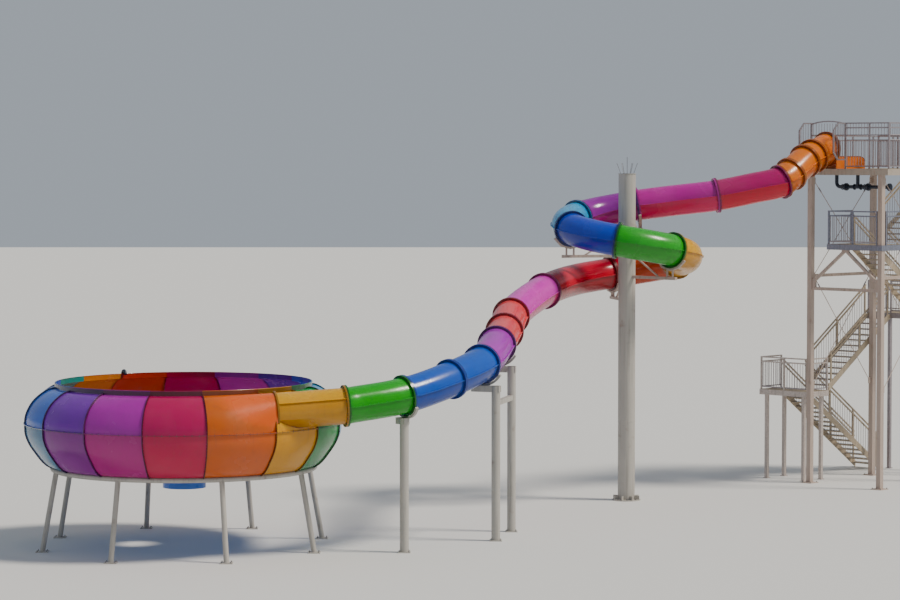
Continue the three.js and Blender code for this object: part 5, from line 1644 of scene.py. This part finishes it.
# %% Loft the trough
SKIRT_OUT, SKIRT_IN, DECK_DROP, RIM_OUT, RIM_TUBE = 0.433, 0.421, -0.655, 0.428, 0.014
ARC = 24
stations = [SEAM + 0.05 * i for i in range(24)] + [1.21 + 0.03 * i for i in range(11)] + [TROUGH]
loops, rims, skirts = [], {1: [], -1: []}, {1: [], -1: []}
for distance in stations:
    height = rim_height(distance)
    loop = []
    for radius, way in ((TUBE, 1), (TUBE - SHELL * 1.5, -1)):
        tip = math.asin(height / radius)
        arc = [math.pi - tip + (math.pi + 2 * tip) * i / ARC for i in range(ARC + 1)]
        loop += [(distance, radius * math.cos(a), radius * math.sin(a)) for a in arc[::way]]
    loops.append(loop)
    for way in (1, -1):
        outside, inside = way * SKIRT_OUT, way * SKIRT_IN
        rims[way].append(trough_place(distance, way * RIM_OUT, height))
        corners = (outside, height), (outside, DECK_DROP), (inside, DECK_DROP), (inside, height)
        skirts[way].append([(distance, x, z) for x, z in corners])
rim_runs = [{"points": rims[way], "rise": start_frame["right"]} for way in (1, -1)]
ring = ring_run(start_frame, FLANGE_MIDDLE, FLANGE_SHIFT)
parts = [
    loft("trough", loops),
    loft("skirt right", skirts[1]),
    loft("skirt left", skirts[-1]),
    sweep("rims", rim_runs, circle_of(RIM_TUBE, 10), shells["orange"][2]),
    sweep("ring", [ring], flange_outline, shells["orange"][2]),
]
settle(join("trough_shell", parts), "orange", "start_trough")

# %% [markdown]
# ## Bolts on the column's saddles
# The arms of the column hold the helix in saddles. A few bolts clamp each saddle to the flange
# pair. They follow the same arc as the saddle, so one run of the row tree sets them.

# %% Saddle bolts
SADDLE_BOLTS, SADDLE_PITCH, SADDLE_BOLT, SADDLE_SHANK = 0.622, 0.26, 0.014, 0.0138
SADDLE_JOINTS, SADDLE_TURNS = (0, 2, 4, 7), (222, 246, 270, 294, 318)
runs = []
for joint in SADDLE_JOINTS:
    place = frame_at(helix_where(joint))
    spokes = [spoke(place, math.radians(angle)) for angle in SADDLE_TURNS]
    points = [place["point"] + way * SADDLE_BOLTS for way in spokes]
    stretch = (SADDLE_BOLT, SADDLE_BOLT, SADDLE_SHANK)
    runs.append(stand(points, place["ahead"], place["rise"], stretch))
saddle_bolts = row("saddle_bolts", runs, through_bolt, SADDLE_PITCH, bolt_zinc)
settle(saddle_bolts, "tower_paint")

# %% [markdown]
# ## Floor, light and camera
# The ride stands on a plain pale floor. One soft key light, high on the right and a little to the
# front, lights the crowns and the right-hand faces, and a pale sky fills the shadows. The camera
# is far away with a long lens, as the photograph's was, which keeps the tower's verticals almost
# parallel.

# %% Floor
REACH = 260.0
floor_mesh = bpy.data.meshes.new("floor")
corners = [(2 * REACH * x, 2 * REACH * y, 0) for x, y in SQUARE]
floor_mesh.from_pydata(corners, [], [(0, 1, 2, 3)])
floor = new_object("floor", floor_mesh)
floor_finish, floor_tree, floor_shader, _ = new_finish("pale floor")
set_inputs(floor_tree, floor_shader, {"Base Color": linear("#D8D8D6"), "Roughness": 0.9})
floor_mesh.materials.append(floor_finish)
print("the floor reaches", REACH, "m each way")

# %% Light and sky
key = new_object("key light", bpy.data.lights.new("key light", "SUN"))
key.data.energy = 3.6
key.data.angle = math.radians(14)
key.data.color = linear("#FFF6E8")[:3]
key.rotation_euler = Vector((-0.62, 0.12, -0.78)).to_track_quat("-Z", "Y").to_euler()
world = bpy.data.worlds.new("pale sky")
bpy.context.scene.world = world
world.use_nodes = True
sky = world.node_tree.nodes["Background"]
set_inputs(world.node_tree, sky, {"Color": linear("#DCE6F2"), "Strength": 0.5})
print("key light", round(key.data.energy, 2), "sky", sky.inputs["Strength"].default_value)

# %% Camera
camera = new_object("camera", bpy.data.cameras.new("camera"))
camera.data.lens = 120
camera.data.sensor_width = 36
camera.data.clip_end = 600
camera.location = (-5.576, -94.5, 10.9)
camera.rotation_euler = (math.radians(90 - 2.767), 0, 0)
bpy.context.scene.camera = camera
print("camera at", [round(c, 1) for c in camera.location], "with a lens of", camera.data.lens)

# %% [markdown]
# ## Tidy up
# The outlines and small copies were only read by the trees, so they go.

# %% Finish
for thing in helpers.values():
    bpy.data.objects.remove(thing)
